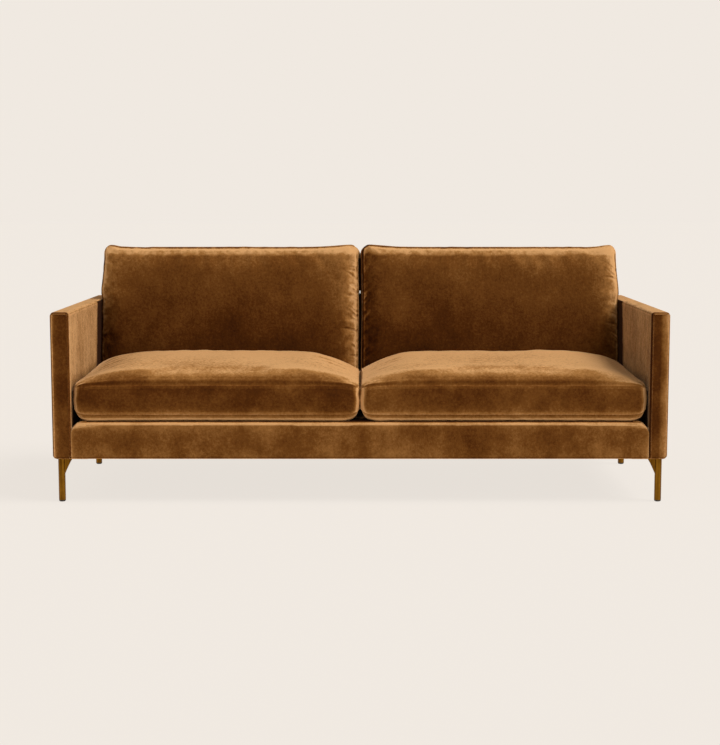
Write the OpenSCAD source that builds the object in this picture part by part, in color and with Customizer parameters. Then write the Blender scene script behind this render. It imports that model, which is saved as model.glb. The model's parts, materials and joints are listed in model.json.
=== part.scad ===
// Two seat tuxedo sofa with arms and back of one height, loose cushions and brass legs.
// The origin is on the floor under the middle. The front faces -Y and +Z is up.

/* [Overall] */
// Width across the arms
sofa_w = 2140; // [1800:1:2400]
// Depth from the arm fronts to the rear of the back's top
sofa_d = 940; // [900:1:1040]
// Height of the arms and of the back frame
arm_h = 667; // [600:1:740]
// Floor to the underside of the frame
base_h = 155; // [125:1:175]
// Height of the deck that the cushions stand on
deck_h = 286; // [269:1:317]
// How much further back the top of the back is than its base
rake_l = 70; // [45:1:95]

/* [Frame] */
// Thickness of an upholstered arm
arm_t = 65; // [56:1:80]
// Thickness of the upholstered back
back_t = 62; // [54:1:80]
// Width of the posts and rails
timber_w = 45; // [38:1:52]
// Height of the rail at the foot of each arm
side_rail_h = 90; // [70:1:110]
// Thickness of a seat stretcher
stretcher_t = 40; // [30:1:55]
// Height of a seat stretcher
stretcher_h = 60; // [45:1:75]
// Length of a corner block along each rail
block_l = 80; // [70:1:110]
// Height of a corner block
block_h = 60; // [50:1:75]
// Height of the low stretchers of the back
back_stretcher_h = 90; // [70:1:120]

/* [Upholstery] */
// Thickness of the velvet and its lining
cover_t = 2.5; // [1.5:0.1:3]
// Thickness of the foam on the frame
pad_t = 5.5; // [4:0.1:7]
// Thickness of the boards on the arms and the back
board_t = 3; // [2.4:0.1:4]
// Thickness of the pad on the seat springs
deck_pad_t = 14; // [10:1:20]
// How far the front rail stands back from the arm fronts
rail_setback = 3; // [1:0.5:6]
// Rounding of the arms' and the back's top edges
edge_r = 10; // [8.5:0.5:14]
// Width of the foam roll on top of the front rail
roll_w = 19; // [14:1:22]
// Thickness of the dust cover
dust_t = 0.8; // [0.5:0.1:1.2]
// Margin from the frame's edge to the dust cover
dust_margin = 6; // [3:1:12]

/* [Springs and webbing] */
// Number of seat springs
spring_count = 12; // [8:1:14]
// Bars in each seat spring
spring_bars = 15; // [9:2:19]
// Width of a seat spring
spring_w = 52; // [40:1:60]
// Spring wire
wire_t = 3.8; // [3:0.1:4.5]
// Metal of a spring clip
clip_t = 1.5; // [1:0.1:2]
// Width of a spring clip
clip_w = 20; // [14:1:26]
// Cross tie under the springs
tie_t = 2.4; // [1.8:0.1:3.2]
// Width of a webbing strap
strap_w = 50; // [35:1:60]
// Upright straps in each half of the back
upright_straps = 5; // [3:1:6]
// Level straps on the back
level_straps = 3; // [2:1:3]

/* [Seat cushions] */
// Gap beside an arm
seat_arm_gap = 7; // [4:0.5:12]
// Gap between the two seat cushions
seat_mid_gap = 4; // [2:0.5:8]
// How far the seat cushions stand back from the arm fronts
seat_setback = 12; // [4:1:25]
// Depth of a seat cushion
seat_depth = 593; // [520:1:600]
// Underside of a seat cushion to its lower seam
seat_belly = 19; // [12:1:26]
// Height of the band between the seams
seat_band_h = 106; // [80:1:130]
// Rise of the top from the upper seam to the middle
seat_crown = 74; // [40:1:90]
// Rounding of a seat cushion's corners
seat_corner_r = 26; // [16:1:40]
// How far a seat cushion's sides draw in
seat_draw = 5; // [2:0.5:9]

/* [Back cushions] */
// Gap beside an arm
back_arm_gap = 2.5; // [1.5:0.5:8]
// Gap between the two back cushions
back_mid_gap = 7; // [4:0.5:12]
// Height of a back cushion at its corners
back_cushion_h = 590; // [520:1:640]
// How much the front of a back cushion leans back over its height
back_lean_l = 105; // [80:1:125]
// Rise of the front from its seam to the middle
back_crown = 45; // [25:1:60]
// Rounding of a back cushion's corners
back_corner_r = 16; // [10:1:30]
// How far the top draws in between its corners
back_top_draw = 9; // [4:0.5:14]
// How far the sides draw in between the corners
back_side_draw = 4; // [1:0.5:7]
// How far the band behind the front seam draws in
band_draw = 5; // [2:0.5:8]

/* [Cushion cores] */
// Fibre around a foam core
core_wrap = 38; // [34:1:50]
// Fibre under a seat core
core_under = 24; // [18:1:30]

/* [Legs] */
// Diameter of a leg's post
leg_d = 24; // [19:1:27]
// Arm's outer face to the middle of a leg
leg_side_inset = 25; // [23:1:30]
// Arm's front to the middle of a front leg
leg_front_inset = 32; // [30:1:40]
// Base's rear edge to the middle of a rear leg
leg_rear_inset = 80; // [74:1:90]
// Height of a gusset fin
fin_h = 52; // [35:1:70]
// Reach of a gusset fin from the middle of the post
fin_reach = 39; // [30:1:50]
// Thickness of a gusset fin
fin_t = 5; // [3:0.5:8]
// Thickness of a leg's top plate
plate_t = 3; // [2:0.5:5]
// Length of a top plate along each side
plate_l = 110; // [105:1:125]
// Middle of a post to the plate's outer edges
plate_margin = 15; // [13:1:18]
// Height of a glide below its post
glide_h = 6; // [4:1:10]
// Diameter of a glide's flat underside
glide_flat_d = 15; // [10:1:17]
// Diameter of a glide's stem
stem_d = 8; // [6:1:10]
// Length of a glide's stem
stem_l = 20; // [12:1:30]

/* [Fasteners] */
// Shank diameter of a leg screw
screw_d = 4.8; // [4:0.1:5.5]
// Length of a leg screw under its head
screw_l = 36; // [28:1:42]
// Head diameter of a leg screw
screw_head_d = 9; // [8:0.5:10]
// Head height of a leg screw
screw_head_h = 3; // [2:0.5:4]
// Diameter of a frame bolt
bolt_d = 8; // [6:1:9]
// Head diameter of a frame bolt
bolt_head_d = 18; // [16:1:20]
// Head height of a frame bolt
bolt_head_h = 5; // [4:0.5:6]
// Length of a frame bolt past the arm
bolt_bite = 40; // [30:1:42]

/* [Fits] */
// Gap between layers that meet on a leaning face
lean_gap = 0.05; // [0.03:0.01:0.1]
// Gap between a loose cushion and what it stands on or leans against
rest_gap = 0.3; // [0.2:0.1:0.6]
// Gap between the seat cushions' rear and the back cushions' front
cushion_clear = 1; // [0.5:0.5:3]
// Gap round a screw, bolt or stem in its hole
hole_fit = 0.1; // [0.05:0.05:0.3]
// Gap between the dust cover and a leg's plate
plate_clear = 4; // [2:1:8]

/* [Hidden] */
$fn = 48;

// Overrun of a cut past the face it opens
over = 1;
// Steps in a quarter turn of an outline
arc_steps = 8;
// Sides of the arms and cushions
LEFT = -1;
RIGHT = 1;

// Planes of the frame
front_y = -sofa_d / 2;
rear_y = sofa_d / 2;
arm_out = sofa_w / 2;
arm_in = arm_out - arm_t;
soft_t = cover_t + pad_t;
skin_t = soft_t + board_t;
timber_out = arm_out - skin_t;
timber_in = arm_in + skin_t;
timber_top = arm_h - soft_t;
board_top = arm_h - max(soft_t, edge_r);
back_in = skin_t - back_t;
slope = rake_l / (arm_h - base_h);
function rear_at(z) = rear_y - slope * (arm_h - z);

// Seat frame
rail_top = deck_h - cover_t - deck_pad_t - wire_t - 2 * clip_t;
rail_face = front_y + rail_setback;
rail_y = rail_face + soft_t;
rail_back = rail_y + timber_w;
roll_y = rail_y + roll_w;
rear_rail_off = back_in - timber_w;
side_rail_off = soft_t + timber_w + lean_gap;
stretcher_share = 1 / 3;

// Springs
clip_l = 3 * wire_t;
spring_pitch_x = 2 * timber_in / spring_count;
spring_y0 = (roll_y + rail_back) / 2;
spring_y1 = rear_at(base_h) + back_in - timber_w / 2;
spring_z = rail_top + clip_t;
bend_share = 0.4;
tie_shares = [0.35, 0.65];

// Back stretchers and webbing
back_stretcher_z = rail_top - back_stretcher_h / 2;
strap_t = board_t / 2;
level_span = timber_top - timber_w - (deck_h + strap_w);

// Cushions
crown_power = 3;
seat_rear_y = front_y + seat_setback + seat_depth;
cushion_z = deck_h + rest_gap;
seat_w = arm_in - seat_arm_gap - seat_mid_gap / 2;
seat_x = (seat_mid_gap + seat_w) / 2;
back_w = arm_in - back_arm_gap - back_mid_gap / 2;
back_x = (back_mid_gap + back_w) / 2;
lean = back_lean_l / back_cushion_h;
top_scales = [1, 0.985, 0.94, 0.86, 0.72, 0.5, 0.25];
belly_scales = [0.8, 0.93, 0.985];
band_shares = [0, 0.3, 0.7];
rear_shares = [1, 0.7, 0.3];
side_steps = 10;
round_share = 0.9;
corner_steps = 4;
seat_core_rise_share = 0.3;
function bulge(k) = pow(1 - pow(k, crown_power), 1 / crown_power);
// How far the leaning front bulges past the foot of its seam
back_reach = max([for (k = top_scales) back_crown * bulge(k) - lean * (1 - k) * back_cushion_h / 2]);
back_seam_y = seat_rear_y + cushion_clear + back_reach;
function seam_at(z) = back_seam_y + lean * (z - cushion_z);
function cushion_rear_at(z) = rear_at(z) - back_t - rest_gap;

// Legs and fasteners
leg_x = arm_out - leg_side_inset;
leg_front_y = front_y + leg_front_inset;
leg_rear_y = rear_at(base_h) - leg_rear_inset;
leg_places = [[LEFT, leg_front_y, 1], [RIGHT, leg_front_y, 1],
    [LEFT, leg_rear_y, -1], [RIGHT, leg_rear_y, -1]];
post_top = base_h - plate_t;
fin_steps = 8;
fin_power = 1.2;
// Screw places on a plate, from its outer corner, as shares of the plate's length
screw_shares = [[0.18, 0.66], [0.68, 0.18], [0.47, 0.4]];
bolt_z_low = base_h + screw_l + bolt_head_d;
bolt_z_high = base_h + 0.9 * side_rail_h;
bolt_z_top_share = 0.7;
bolt_z_top = base_h + bolt_z_top_share * (arm_h - base_h);
bolt_y = rail_y + timber_w / 2;

velvet = "#a5622f";
foam = "#e8dfc4";
timber = "#c9a26b";
board = "#8a6a45";
steel = "#8d9196";
brass = "#8a6a3c";
black = "#2a2623";

// Extrusion of a side outline, given as Y and Z, from x0 to x1
module along_x(x0, x1) {
    translate([x0, 0, 0])
        rotate([90, 0, 90])
            linear_extrude(height = x1 - x0)
                children();
}

// Extrusion of a front outline, given as X and Z, from y0 to y1
module along_y(y0, y1) {
    translate([0, y1, 0])
        rotate([90, 0, 0])
            linear_extrude(height = y1 - y0)
                children();
}

module box(x0, x1, y0, y1, z0, z1) {
    translate([x0, y0, z0])
        cube([x1 - x0, y1 - y0, z1 - z0]);
}

// The same piece on the left, where it is modelled, or mirrored to the right
module on_side(side) {
    mirror([side == RIGHT ? 1 : 0, 0, 0])
        children();
}

// A bar that leans with the back, between two offsets from the rear plane
module raked(x0, x1, z0, z1, off0, off1) {
    along_x(x0, x1)
        polygon([[rear_at(z0) + off0, z0], [rear_at(z0) + off1, z0],
            [rear_at(z1) + off1, z1], [rear_at(z1) + off0, z1]]);
}

// A bar from a straight front end to a leaning rear end
module to_back(x0, x1, y0, z0, z1, off) {
    along_x(x0, x1)
        polygon([[y0, z0], [rear_at(z0) + off, z0], [rear_at(z1) + off, z1], [y0, z1]]);
}

function arc(cx, cy, r, a0, a1) = [for (i = [0 : arc_steps])
    let (a = a0 + (a1 - a0) * i / arc_steps)
    [cx + r * cos(a), cy + r * sin(a)]];

// Timber frame

module front_rail() {
    color(timber)
        difference() {
            box(-timber_in, timber_in, rail_y, rail_back, base_h, rail_top);
            screw_holes();
            bolt_holes();
        }
}

module rear_rail() {
    color(timber)
        difference() {
            raked(-timber_in, timber_in, base_h, rail_top, rear_rail_off, back_in - lean_gap);
            screw_holes();
        }
}

module side_rail(side) {
    color(timber)
        difference() {
            on_side(side)
                along_x(-timber_out, -timber_in)
                    polygon([[front_y + soft_t + timber_w, base_h],
                        [rear_at(base_h) - side_rail_off, base_h],
                        [rear_at(base_h + side_rail_h) - side_rail_off, base_h + side_rail_h],
                        [front_y + soft_t + timber_w, base_h + side_rail_h]]);
            screw_holes();
        }
}

module seat_stretchers() {
    color(timber)
        for (side = [LEFT, RIGHT])
            translate([side * stretcher_share * timber_in, 0, 0])
                to_back(-stretcher_t / 2, stretcher_t / 2, rail_back,
                    base_h, base_h + stretcher_h, rear_rail_off - lean_gap);
}

module corner_block(side) {
    rear_block_y = rear_at(base_h) + rear_rail_off;
    on_side(side) {
        translate([0, 0, base_h])
            linear_extrude(height = block_h)
                polygon([[-timber_in, rail_back], [block_l - timber_in, rail_back],
                    [-timber_in, rail_back + block_l]]);
        translate([0, 0, base_h])
            linear_extrude(height = block_h)
                polygon([[-timber_in, rear_block_y], [-timber_in, rear_block_y - block_l],
                    [block_l - timber_in, rear_block_y]]);
    }
}

module corner_blocks() {
    color(timber)
        difference() {
            for (side = [LEFT, RIGHT])
                corner_block(side);
            screw_holes();
        }
}

module arm_front_post(side) {
    color(timber)
        difference() {
            on_side(side)
                box(-timber_out, -timber_in, front_y + soft_t, front_y + soft_t + timber_w,
                    base_h, timber_top);
            bolt_holes();
        }
}

module arm_rear_post(side) {
    color(timber)
        difference() {
            on_side(side)
                raked(-timber_out, -timber_in, base_h, timber_top - timber_w,
                    -soft_t - timber_w, -soft_t);
            bolt_holes();
        }
}

module arm_top_rail(side) {
    color(timber)
        on_side(side)
            to_back(-timber_out, -timber_in, front_y + soft_t + timber_w,
                timber_top - timber_w, timber_top, -soft_t);
}

module back_post(side) {
    color(timber)
        difference() {
            on_side(side)
                raked(-timber_in, timber_w - timber_in, base_h, timber_top - timber_w,
                    back_in, -skin_t);
            bolt_holes();
        }
}

module back_centre_post() {
    color(timber)
        raked(-timber_w / 2, timber_w / 2, base_h, timber_top - timber_w, back_in, -skin_t);
}

module back_top_rail() {
    color(timber)
        raked(-timber_in, timber_in, timber_top - timber_w, timber_top, back_in, -skin_t);
}

module back_stretchers() {
    color(timber)
        for (side = [LEFT, RIGHT])
            on_side(side)
                raked(timber_w - timber_in, -timber_w / 2, back_stretcher_z,
                    back_stretcher_z + back_stretcher_h, back_in, -skin_t);
}

// Boards and webbing

module arm_notch() {
    along_x(-timber_in, over - arm_in)
        polygon([[rail_y, base_h - over], [rear_y + over, base_h - over],
            [rear_y + over, arm_h + over], [rear_at(arm_h + over) - back_t, arm_h + over],
            [rear_at(deck_h) - back_t, deck_h], [rail_y, deck_h]]);
}

module arm_boards(side) {
    color(board)
        on_side(side) {
            difference() {
                to_back(-timber_in, board_t - timber_in, front_y + soft_t,
                    base_h, board_top, -soft_t);
                arm_notch();
            }
            to_back(-timber_out - board_t, -timber_out, front_y + soft_t,
                base_h, board_top, -soft_t);
        }
}

module back_board() {
    color(board)
        raked(-timber_in, timber_in, base_h, board_top, lean_gap - skin_t, -soft_t);
}

module back_webbing() {
    half_w = timber_in - 1.5 * timber_w;
    pitch_x = half_w / upright_straps;
    pitch_z = level_span / level_straps;
    color("#b79a68") {
        for (side = [LEFT, RIGHT], i = [0 : upright_straps - 1])
            translate([side * (timber_w / 2 + (i + 0.5) * pitch_x), 0, 0])
                raked(-strap_w / 2, strap_w / 2, deck_h, board_top, back_in - strap_t,
                    back_in - lean_gap);
        for (i = [0 : level_straps - 1])
            raked(-timber_in, timber_in, deck_h + strap_w + (i + 0.5) * pitch_z - strap_w / 2,
                deck_h + strap_w + (i + 0.5) * pitch_z + strap_w / 2,
                back_in - 2 * strap_t, back_in - strap_t - lean_gap);
    }
}

// Springs

function unit(v) = v / norm(v);

// Point i of a path, moved sideways by h
function beside(path, i, h) =
    let (last = len(path) - 1,
        a = i > 0 ? unit(path[i] - path[i - 1]) : unit(path[1] - path[0]),
        b = i < last ? unit(path[i + 1] - path[i]) : a,
        m = unit(a + b))
    path[i] + [-m[1], m[0]] * h / (m * a);

// Middle line of a sinuous spring that lies along Y
function spring_path(length) =
    let (half = (spring_w - wire_t) / 2,
        pitch = length / (spring_bars - 1),
        bend = bend_share * pitch)
    [for (i = [0 : spring_bars - 1])
        let (s = i % 2 == 0 ? 1 : -1, y = i * pitch)
        for (p = i < spring_bars - 1
            ? [[-s * (half - bend), y], [s * (half - bend), y], [s * half, y + bend],
                [s * half, y + pitch - bend]]
            : [[-s * (half - bend), y], [s * (half - bend), y]]) p];

module spring(length) {
    path = spring_path(length);
    last = len(path) - 1;
    linear_extrude(height = wire_t)
        polygon(concat([for (i = [0 : last]) beside(path, i, wire_t / 2)],
            [for (i = [last : -1 : 0]) beside(path, i, -wire_t / 2)]));
}

function spring_x(i) = (i + 0.5) * spring_pitch_x - timber_in;

module seat_springs() {
    color(steel)
        for (i = [0 : spring_count - 1])
            translate([spring_x(i), spring_y0, spring_z])
                spring(spring_y1 - spring_y0);
}

// Side outline of a clip that opens towards +Y and holds a bar at the origin
module clip_outline() {
    back = -wire_t / 2;
    polygon([[back - clip_t, -clip_t], [back + clip_l, -clip_t], [back + clip_l, 0], [back, 0],
        [back, wire_t], [-back, wire_t], [-back, wire_t + clip_t],
        [back - clip_t, wire_t + clip_t]]);
}

module spring_clips() {
    color(steel)
        for (i = [0 : spring_count - 1]) {
            translate([spring_x(i), spring_y0, spring_z])
                along_x(-clip_w / 2, clip_w / 2)
                    clip_outline();
            translate([spring_x(i), spring_y1, spring_z])
                mirror([0, 1, 0])
                    along_x(-clip_w / 2, clip_w / 2)
                        clip_outline();
        }
}

module spring_ties() {
    color(black)
        for (share = tie_shares)
            translate([0, spring_y0 + share * (spring_y1 - spring_y0), spring_z - tie_t / 2])
                rotate([0, 90, 0])
                    cylinder(h = 2 * timber_in, d = tie_t, center = true);
}

// Padding and covers

// Front outline of the left arm, drawn in by inset, with a rounded top
module arm_front_outline(inset, low) {
    r = edge_r - inset;
    x0 = inset - arm_out;
    x1 = -arm_in - inset;
    top = arm_h - inset;
    polygon(concat([[x0, low], [x1, low]],
        arc(x1 - r, top - r, r, 0, 90),
        arc(x0 + r, top - r, r, 90, 180)));
}

module arm_form(inset, low) {
    intersection() {
        to_back(inset - arm_out, -arm_in - inset, front_y + inset, low, arm_h - inset, -inset);
        along_y(front_y + inset, rear_y - inset)
            arm_front_outline(inset, low);
    }
}

module arm_pad(side) {
    color(foam)
        on_side(side)
            difference() {
                arm_form(cover_t + lean_gap, base_h);
                arm_form(soft_t - lean_gap, base_h - over);
                arm_notch();
            }
}

module arm_cover(side) {
    color(velvet)
        on_side(side)
            difference() {
                arm_form(0, base_h);
                arm_form(cover_t, base_h - over);
                arm_notch();
            }
}

// Side outline of the back, drawn in by inset, with a rounded top
function back_outline(inset, low) =
    let (r = edge_r - inset, top = arm_h - inset)
    concat([[rear_at(low) - back_t + inset, low], [rear_at(low) - inset, low]],
        arc(rear_at(top - r) - inset - r, top - r, r, 0, 90),
        arc(rear_at(top - r) - back_t + inset + r, top - r, r, 90, 180));

// What the seat frame and the springs need in front of the back's timber
module back_foot(z) {
    along_x(-timber_in - over, timber_in + over)
        polygon([[rear_at(base_h - over) - back_t - over, base_h - over],
            [rear_at(base_h - over) + back_in, base_h - over],
            [rear_at(z) + back_in, z], [rear_at(z) - back_t - over, z]]);
}

module back_pad() {
    color(foam)
        difference() {
            along_x(-timber_in, timber_in)
                polygon(back_outline(cover_t + lean_gap, base_h));
            along_x(-timber_in - over, timber_in + over)
                polygon(back_outline(soft_t - lean_gap, base_h - over));
            back_foot(deck_h);
        }
}

module back_cover() {
    color(velvet)
        difference() {
            along_x(-timber_in, timber_in)
                polygon(back_outline(0, base_h));
            along_x(-timber_in - over, timber_in + over)
                polygon(back_outline(cover_t, base_h - over));
            back_foot(deck_h);
        }
}

module deck_pad() {
    color(foam)
        to_back(-timber_in, timber_in, roll_y, deck_h - cover_t - deck_pad_t,
            deck_h - cover_t, -back_t - lean_gap);
}

module deck_cover() {
    color(velvet)
        to_back(-timber_in, timber_in, roll_y, deck_h - cover_t, deck_h, -back_t - lean_gap);
}

module front_rail_pad() {
    inner = rail_face + cover_t;
    r = edge_r - cover_t;
    color(foam)
        along_x(-arm_in, arm_in)
            polygon(concat([[rail_y, base_h], [inner, base_h]],
                arc(inner + r, deck_h - cover_t - r, r, 180, 90),
                [[roll_y, deck_h - cover_t], [roll_y, rail_top], [rail_y, rail_top]]));
}

module front_rail_cover() {
    inner = rail_face + cover_t;
    r = edge_r - cover_t;
    color(velvet)
        along_x(-arm_in, arm_in)
            polygon(concat([[inner, base_h], [rail_face, base_h]],
                arc(rail_face + edge_r, deck_h - edge_r, edge_r, 180, 90),
                [[roll_y, deck_h], [roll_y, deck_h - cover_t]],
                arc(inner + r, deck_h - cover_t - r, r, 90, 180)));
}

module dust_cover() {
    span = plate_l + plate_clear;
    color(black)
        difference() {
            box(dust_margin - timber_out, timber_out - dust_margin, rail_y + dust_margin,
                rear_at(base_h) - skin_t - dust_margin, base_h - dust_t, base_h);
            for (p = leg_places)
                leg_frame(p)
                    translate([-span, -span - over, base_h - dust_t - over])
                        cube([span + 2 * plate_margin + over, 2 * span + over, dust_t + 2 * over]);
        }
}

// Legs

// A leg's own frame: X runs outwards and Y runs from the plate's edge to the middle of the sofa
module leg_frame(place) {
    translate([place[0] * leg_x, place[1], 0])
        mirror([place[0] == LEFT ? 1 : 0, 0, 0])
            mirror([0, place[2] == -1 ? 1 : 0, 0])
                children();
}

module fin() {
    rise = leg_d / 2;
    along_y(-fin_t / 2, fin_t / 2)
        polygon(concat([[0, post_top], [0, post_top - fin_h]],
            [for (i = [0 : fin_steps])
                let (s = i / fin_steps)
                [-rise - s * (fin_reach - rise), post_top - fin_h * pow(1 - s, fin_power) - (1 - s) * over]],
            [[-fin_reach, post_top]]));
}

module plate() {
    difference() {
        translate([0, 0, post_top])
            linear_extrude(height = plate_t)
                polygon([[plate_margin, -plate_margin], [plate_margin, plate_l - plate_margin],
                    [plate_margin - plate_l, -plate_margin]]);
        for (s = screw_shares)
            translate([plate_margin - s[0] * plate_l, s[1] * plate_l - plate_margin, post_top - over])
                cylinder(h = plate_t + 2 * over, d = screw_d + 2 * hole_fit);
    }
}

module leg(place) {
    color(brass)
        leg_frame(place)
            difference() {
                union() {
                    translate([0, 0, glide_h])
                        cylinder(h = post_top - glide_h, d = leg_d);
                    fin();
                    rotate([0, 0, -90])
                        fin();
                    plate();
                }
                translate([0, 0, glide_h - over])
                    cylinder(h = stem_l + over, d = stem_d + 2 * hole_fit);
            }
}

module glides() {
    r = leg_d / 2;
    flat = glide_flat_d / 2;
    color(black)
        for (p = leg_places)
            leg_frame(p)
                rotate_extrude()
                    polygon(concat([[0, 0], [flat, 0]],
                        [for (i = [1 : arc_steps])
                            let (a = 90 * i / arc_steps)
                            [flat + (r - flat) * sin(a), glide_h * (1 - cos(a))]],
                        [[stem_d / 2, glide_h], [stem_d / 2, glide_h + stem_l], [0, glide_h + stem_l]]));
}

// Fasteners

module at_screws() {
    for (p = leg_places)
        leg_frame(p)
            for (s = screw_shares)
                translate([plate_margin - s[0] * plate_l, s[1] * plate_l - plate_margin, post_top])
                    children();
}

module screw_holes() {
    at_screws()
        cylinder(h = screw_l + over, d = screw_d + 2 * hole_fit);
}

module leg_screws() {
    color(steel)
        at_screws() {
            translate([0, 0, -screw_head_h])
                cylinder(h = screw_head_h, d = screw_head_d);
            cylinder(h = screw_l, d = screw_d);
        }
}

function bolt_spots() = [[bolt_y, bolt_z_low], [bolt_y, bolt_z_high],
    [rear_at(bolt_z_low) - back_t / 2, bolt_z_low], [rear_at(bolt_z_top) - back_t / 2, bolt_z_top]];

module at_bolts() {
    for (side = [LEFT, RIGHT])
        on_side(side)
            for (s = bolt_spots())
                translate([-timber_out, s[0], s[1]])
                    rotate([0, 90, 0])
                        children();
}

module bolt_holes() {
    reach = timber_out - timber_in + bolt_bite;
    at_bolts() {
        translate([0, 0, -over])
            cylinder(h = bolt_head_h + over, d = bolt_head_d + 2 * hole_fit);
        cylinder(h = reach + over, d = bolt_d + 2 * hole_fit);
    }
}

module frame_bolts() {
    color(steel)
        at_bolts() {
            cylinder(h = bolt_head_h, d = bolt_head_d);
            cylinder(h = timber_out - timber_in + bolt_bite, d = bolt_d);
        }
}

// Cushions

// Rounded outline, anticlockwise, whose sides draw in: pulls are for the low, right, top and
// left sides
function outline(w, h, r, pulls) =
    let (a = w / 2 - r, b = h / 2 - r, n = side_steps, m = corner_steps)
    concat(
        [for (i = [0 : n - 1]) let (s = i / n) [2 * a * s - a, pulls[0] * 4 * s * (1 - s) - h / 2]],
        [for (i = [0 : m - 1]) [a + r * sin(90 * i / m), -b - r * cos(90 * i / m)]],
        [for (i = [0 : n - 1]) let (s = i / n) [w / 2 - pulls[1] * 4 * s * (1 - s), 2 * b * s - b]],
        [for (i = [0 : m - 1]) [a + r * cos(90 * i / m), b + r * sin(90 * i / m)]],
        [for (i = [0 : n - 1]) let (s = i / n) [a - 2 * a * s, h / 2 - pulls[2] * 4 * s * (1 - s)]],
        [for (i = [0 : m - 1]) [-a - r * sin(90 * i / m), b + r * cos(90 * i / m)]],
        [for (i = [0 : n - 1]) let (s = i / n) [pulls[3] * 4 * s * (1 - s) - w / 2, b - 2 * b * s]],
        [for (i = [0 : m - 1]) [-a - r * cos(90 * i / m), -b - r * sin(90 * i / m)]]);

// Closed solid through rings of points, with a pole before the first and after the last
module lofted(low_pole, rings, high_pole) {
    n = len(rings[0]);
    top = 1 + n * len(rings);
    function at(j, i) = 1 + j * n + i % n;
    polyhedron(
        points = concat([low_pole], [for (ring = rings) for (p = ring) p], [high_pole]),
        faces = concat(
            [for (i = [0 : n - 1]) [0, at(0, i), at(0, i + 1)]],
            [for (j = [0 : len(rings) - 2], i = [0 : n - 1]) [at(j, i), at(j + 1, i), at(j + 1, i + 1)]],
            [for (j = [0 : len(rings) - 2], i = [0 : n - 1]) [at(j, i), at(j + 1, i + 1), at(j, i + 1)]],
            [for (i = [0 : n - 1]) [top, at(len(rings) - 1, i + 1), at(len(rings) - 1, i)]]));
}

// Rings inside a seam get rounder corners towards the middle
function inner_r(k, r, h) = r + (1 - k) * round_share * h / 2;

function seat_ring(k, z, inset) =
    [for (p = outline(seat_w - 2 * inset, seat_depth - 2 * inset,
        inner_r(k, seat_corner_r, seat_depth), [seat_draw, seat_draw, seat_draw, seat_draw]))
        [k * p[0], k * p[1], z]];

module seat_form() {
    seam_z = seat_belly + seat_band_h;
    lofted([0, 0, 0],
        concat(
            [for (k = belly_scales) seat_ring(k, seat_belly * (1 - bulge(k)), 0)],
            [for (s = band_shares) seat_ring(1, seat_belly + s * seat_band_h, s > 0 ? band_draw / 2 : 0)],
            [for (k = top_scales) seat_ring(k, seam_z + seat_crown * bulge(k), 0)]),
        [0, 0, seam_z + seat_crown]);
}

module seat_core_block() {
    box(core_wrap - seat_w / 2, seat_w / 2 - core_wrap, core_wrap - seat_depth / 2,
        seat_depth / 2 - core_wrap, core_under, seat_belly + seat_band_h + seat_core_rise_share * seat_crown);
}

module at_seat(side) {
    translate([side * seat_x, seat_rear_y - seat_depth / 2, cushion_z])
        children();
}

module seat_cushion(side) {
    color(velvet)
        at_seat(side)
            difference() {
                seat_form();
                seat_core_block();
            }
}

module seat_core(side) {
    color(foam)
        at_seat(side)
            seat_core_block();
}

// Ring of a back cushion: scaled by k about its middle, drawn in by inset, at a share of the way
// from the front seam to the rear, or standing out in front by rise
function back_ring(k, inset, share, rise) =
    [for (p = outline(back_w - 2 * inset, back_cushion_h - 2 * inset,
        inner_r(k, back_corner_r, back_cushion_h), [0, back_side_draw, back_top_draw, back_side_draw]))
        let (z = cushion_z + back_cushion_h / 2 + k * p[1],
            y = seam_at(z) + share * (cushion_rear_at(z) - seam_at(z)) - rise)
        [k * p[0], y, z]];

module back_form() {
    mid_z = cushion_z + back_cushion_h / 2;
    lofted([0, cushion_rear_at(mid_z), mid_z],
        concat(
            [for (s = rear_shares) back_ring(1, s < 1 ? band_draw : 0, s, 0)],
            [for (k = top_scales) back_ring(k, 0, 0, back_crown * bulge(k))]),
        [0, seam_at(mid_z) - back_crown, mid_z]);
}

module back_core_block() {
    z0 = cushion_z + core_wrap;
    z1 = cushion_z + back_cushion_h - core_wrap - back_top_draw;
    along_x(core_wrap - back_w / 2, back_w / 2 - core_wrap)
        polygon([[seam_at(z0) + rest_gap, z0], [cushion_rear_at(z0) - core_wrap, z0],
            [cushion_rear_at(z1) - core_wrap, z1], [seam_at(z1) + rest_gap, z1]]);
}

module back_cushion(side) {
    color(velvet)
        translate([side * back_x, 0, 0])
            difference() {
                back_form();
                back_core_block();
            }
}

module back_core(side) {
    color(foam)
        translate([side * back_x, 0, 0])
            back_core_block();
}

front_rail();
rear_rail();
side_rail(LEFT);  // side_rail_left
side_rail(RIGHT);  // side_rail_right
seat_stretchers();
corner_blocks();
arm_front_post(LEFT);  // arm_front_post_left
arm_front_post(RIGHT);  // arm_front_post_right
arm_rear_post(LEFT);  // arm_rear_post_left
arm_rear_post(RIGHT);  // arm_rear_post_right
arm_top_rail(LEFT);  // arm_top_rail_left
arm_top_rail(RIGHT);  // arm_top_rail_right
back_post(LEFT);  // back_post_left
back_post(RIGHT);  // back_post_right
back_centre_post();
back_top_rail();
back_stretchers();
arm_boards(LEFT);  // arm_boards_left
arm_boards(RIGHT);  // arm_boards_right
back_board();
back_webbing();
seat_springs();
spring_clips();
spring_ties();
deck_pad();
front_rail_pad();
arm_pad(LEFT);  // arm_pad_left
arm_pad(RIGHT);  // arm_pad_right
back_pad();
deck_cover();
front_rail_cover();
arm_cover(LEFT);  // arm_cover_left
arm_cover(RIGHT);  // arm_cover_right
back_cover();
dust_cover();
leg(leg_places[0]);  // leg_front_left
leg(leg_places[1]);  // leg_front_right
leg(leg_places[2]);  // leg_rear_left
leg(leg_places[3]);  // leg_rear_right
glides();
leg_screws();
frame_bolts();
seat_cushion(LEFT);  // seat_cushion_left
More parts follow.
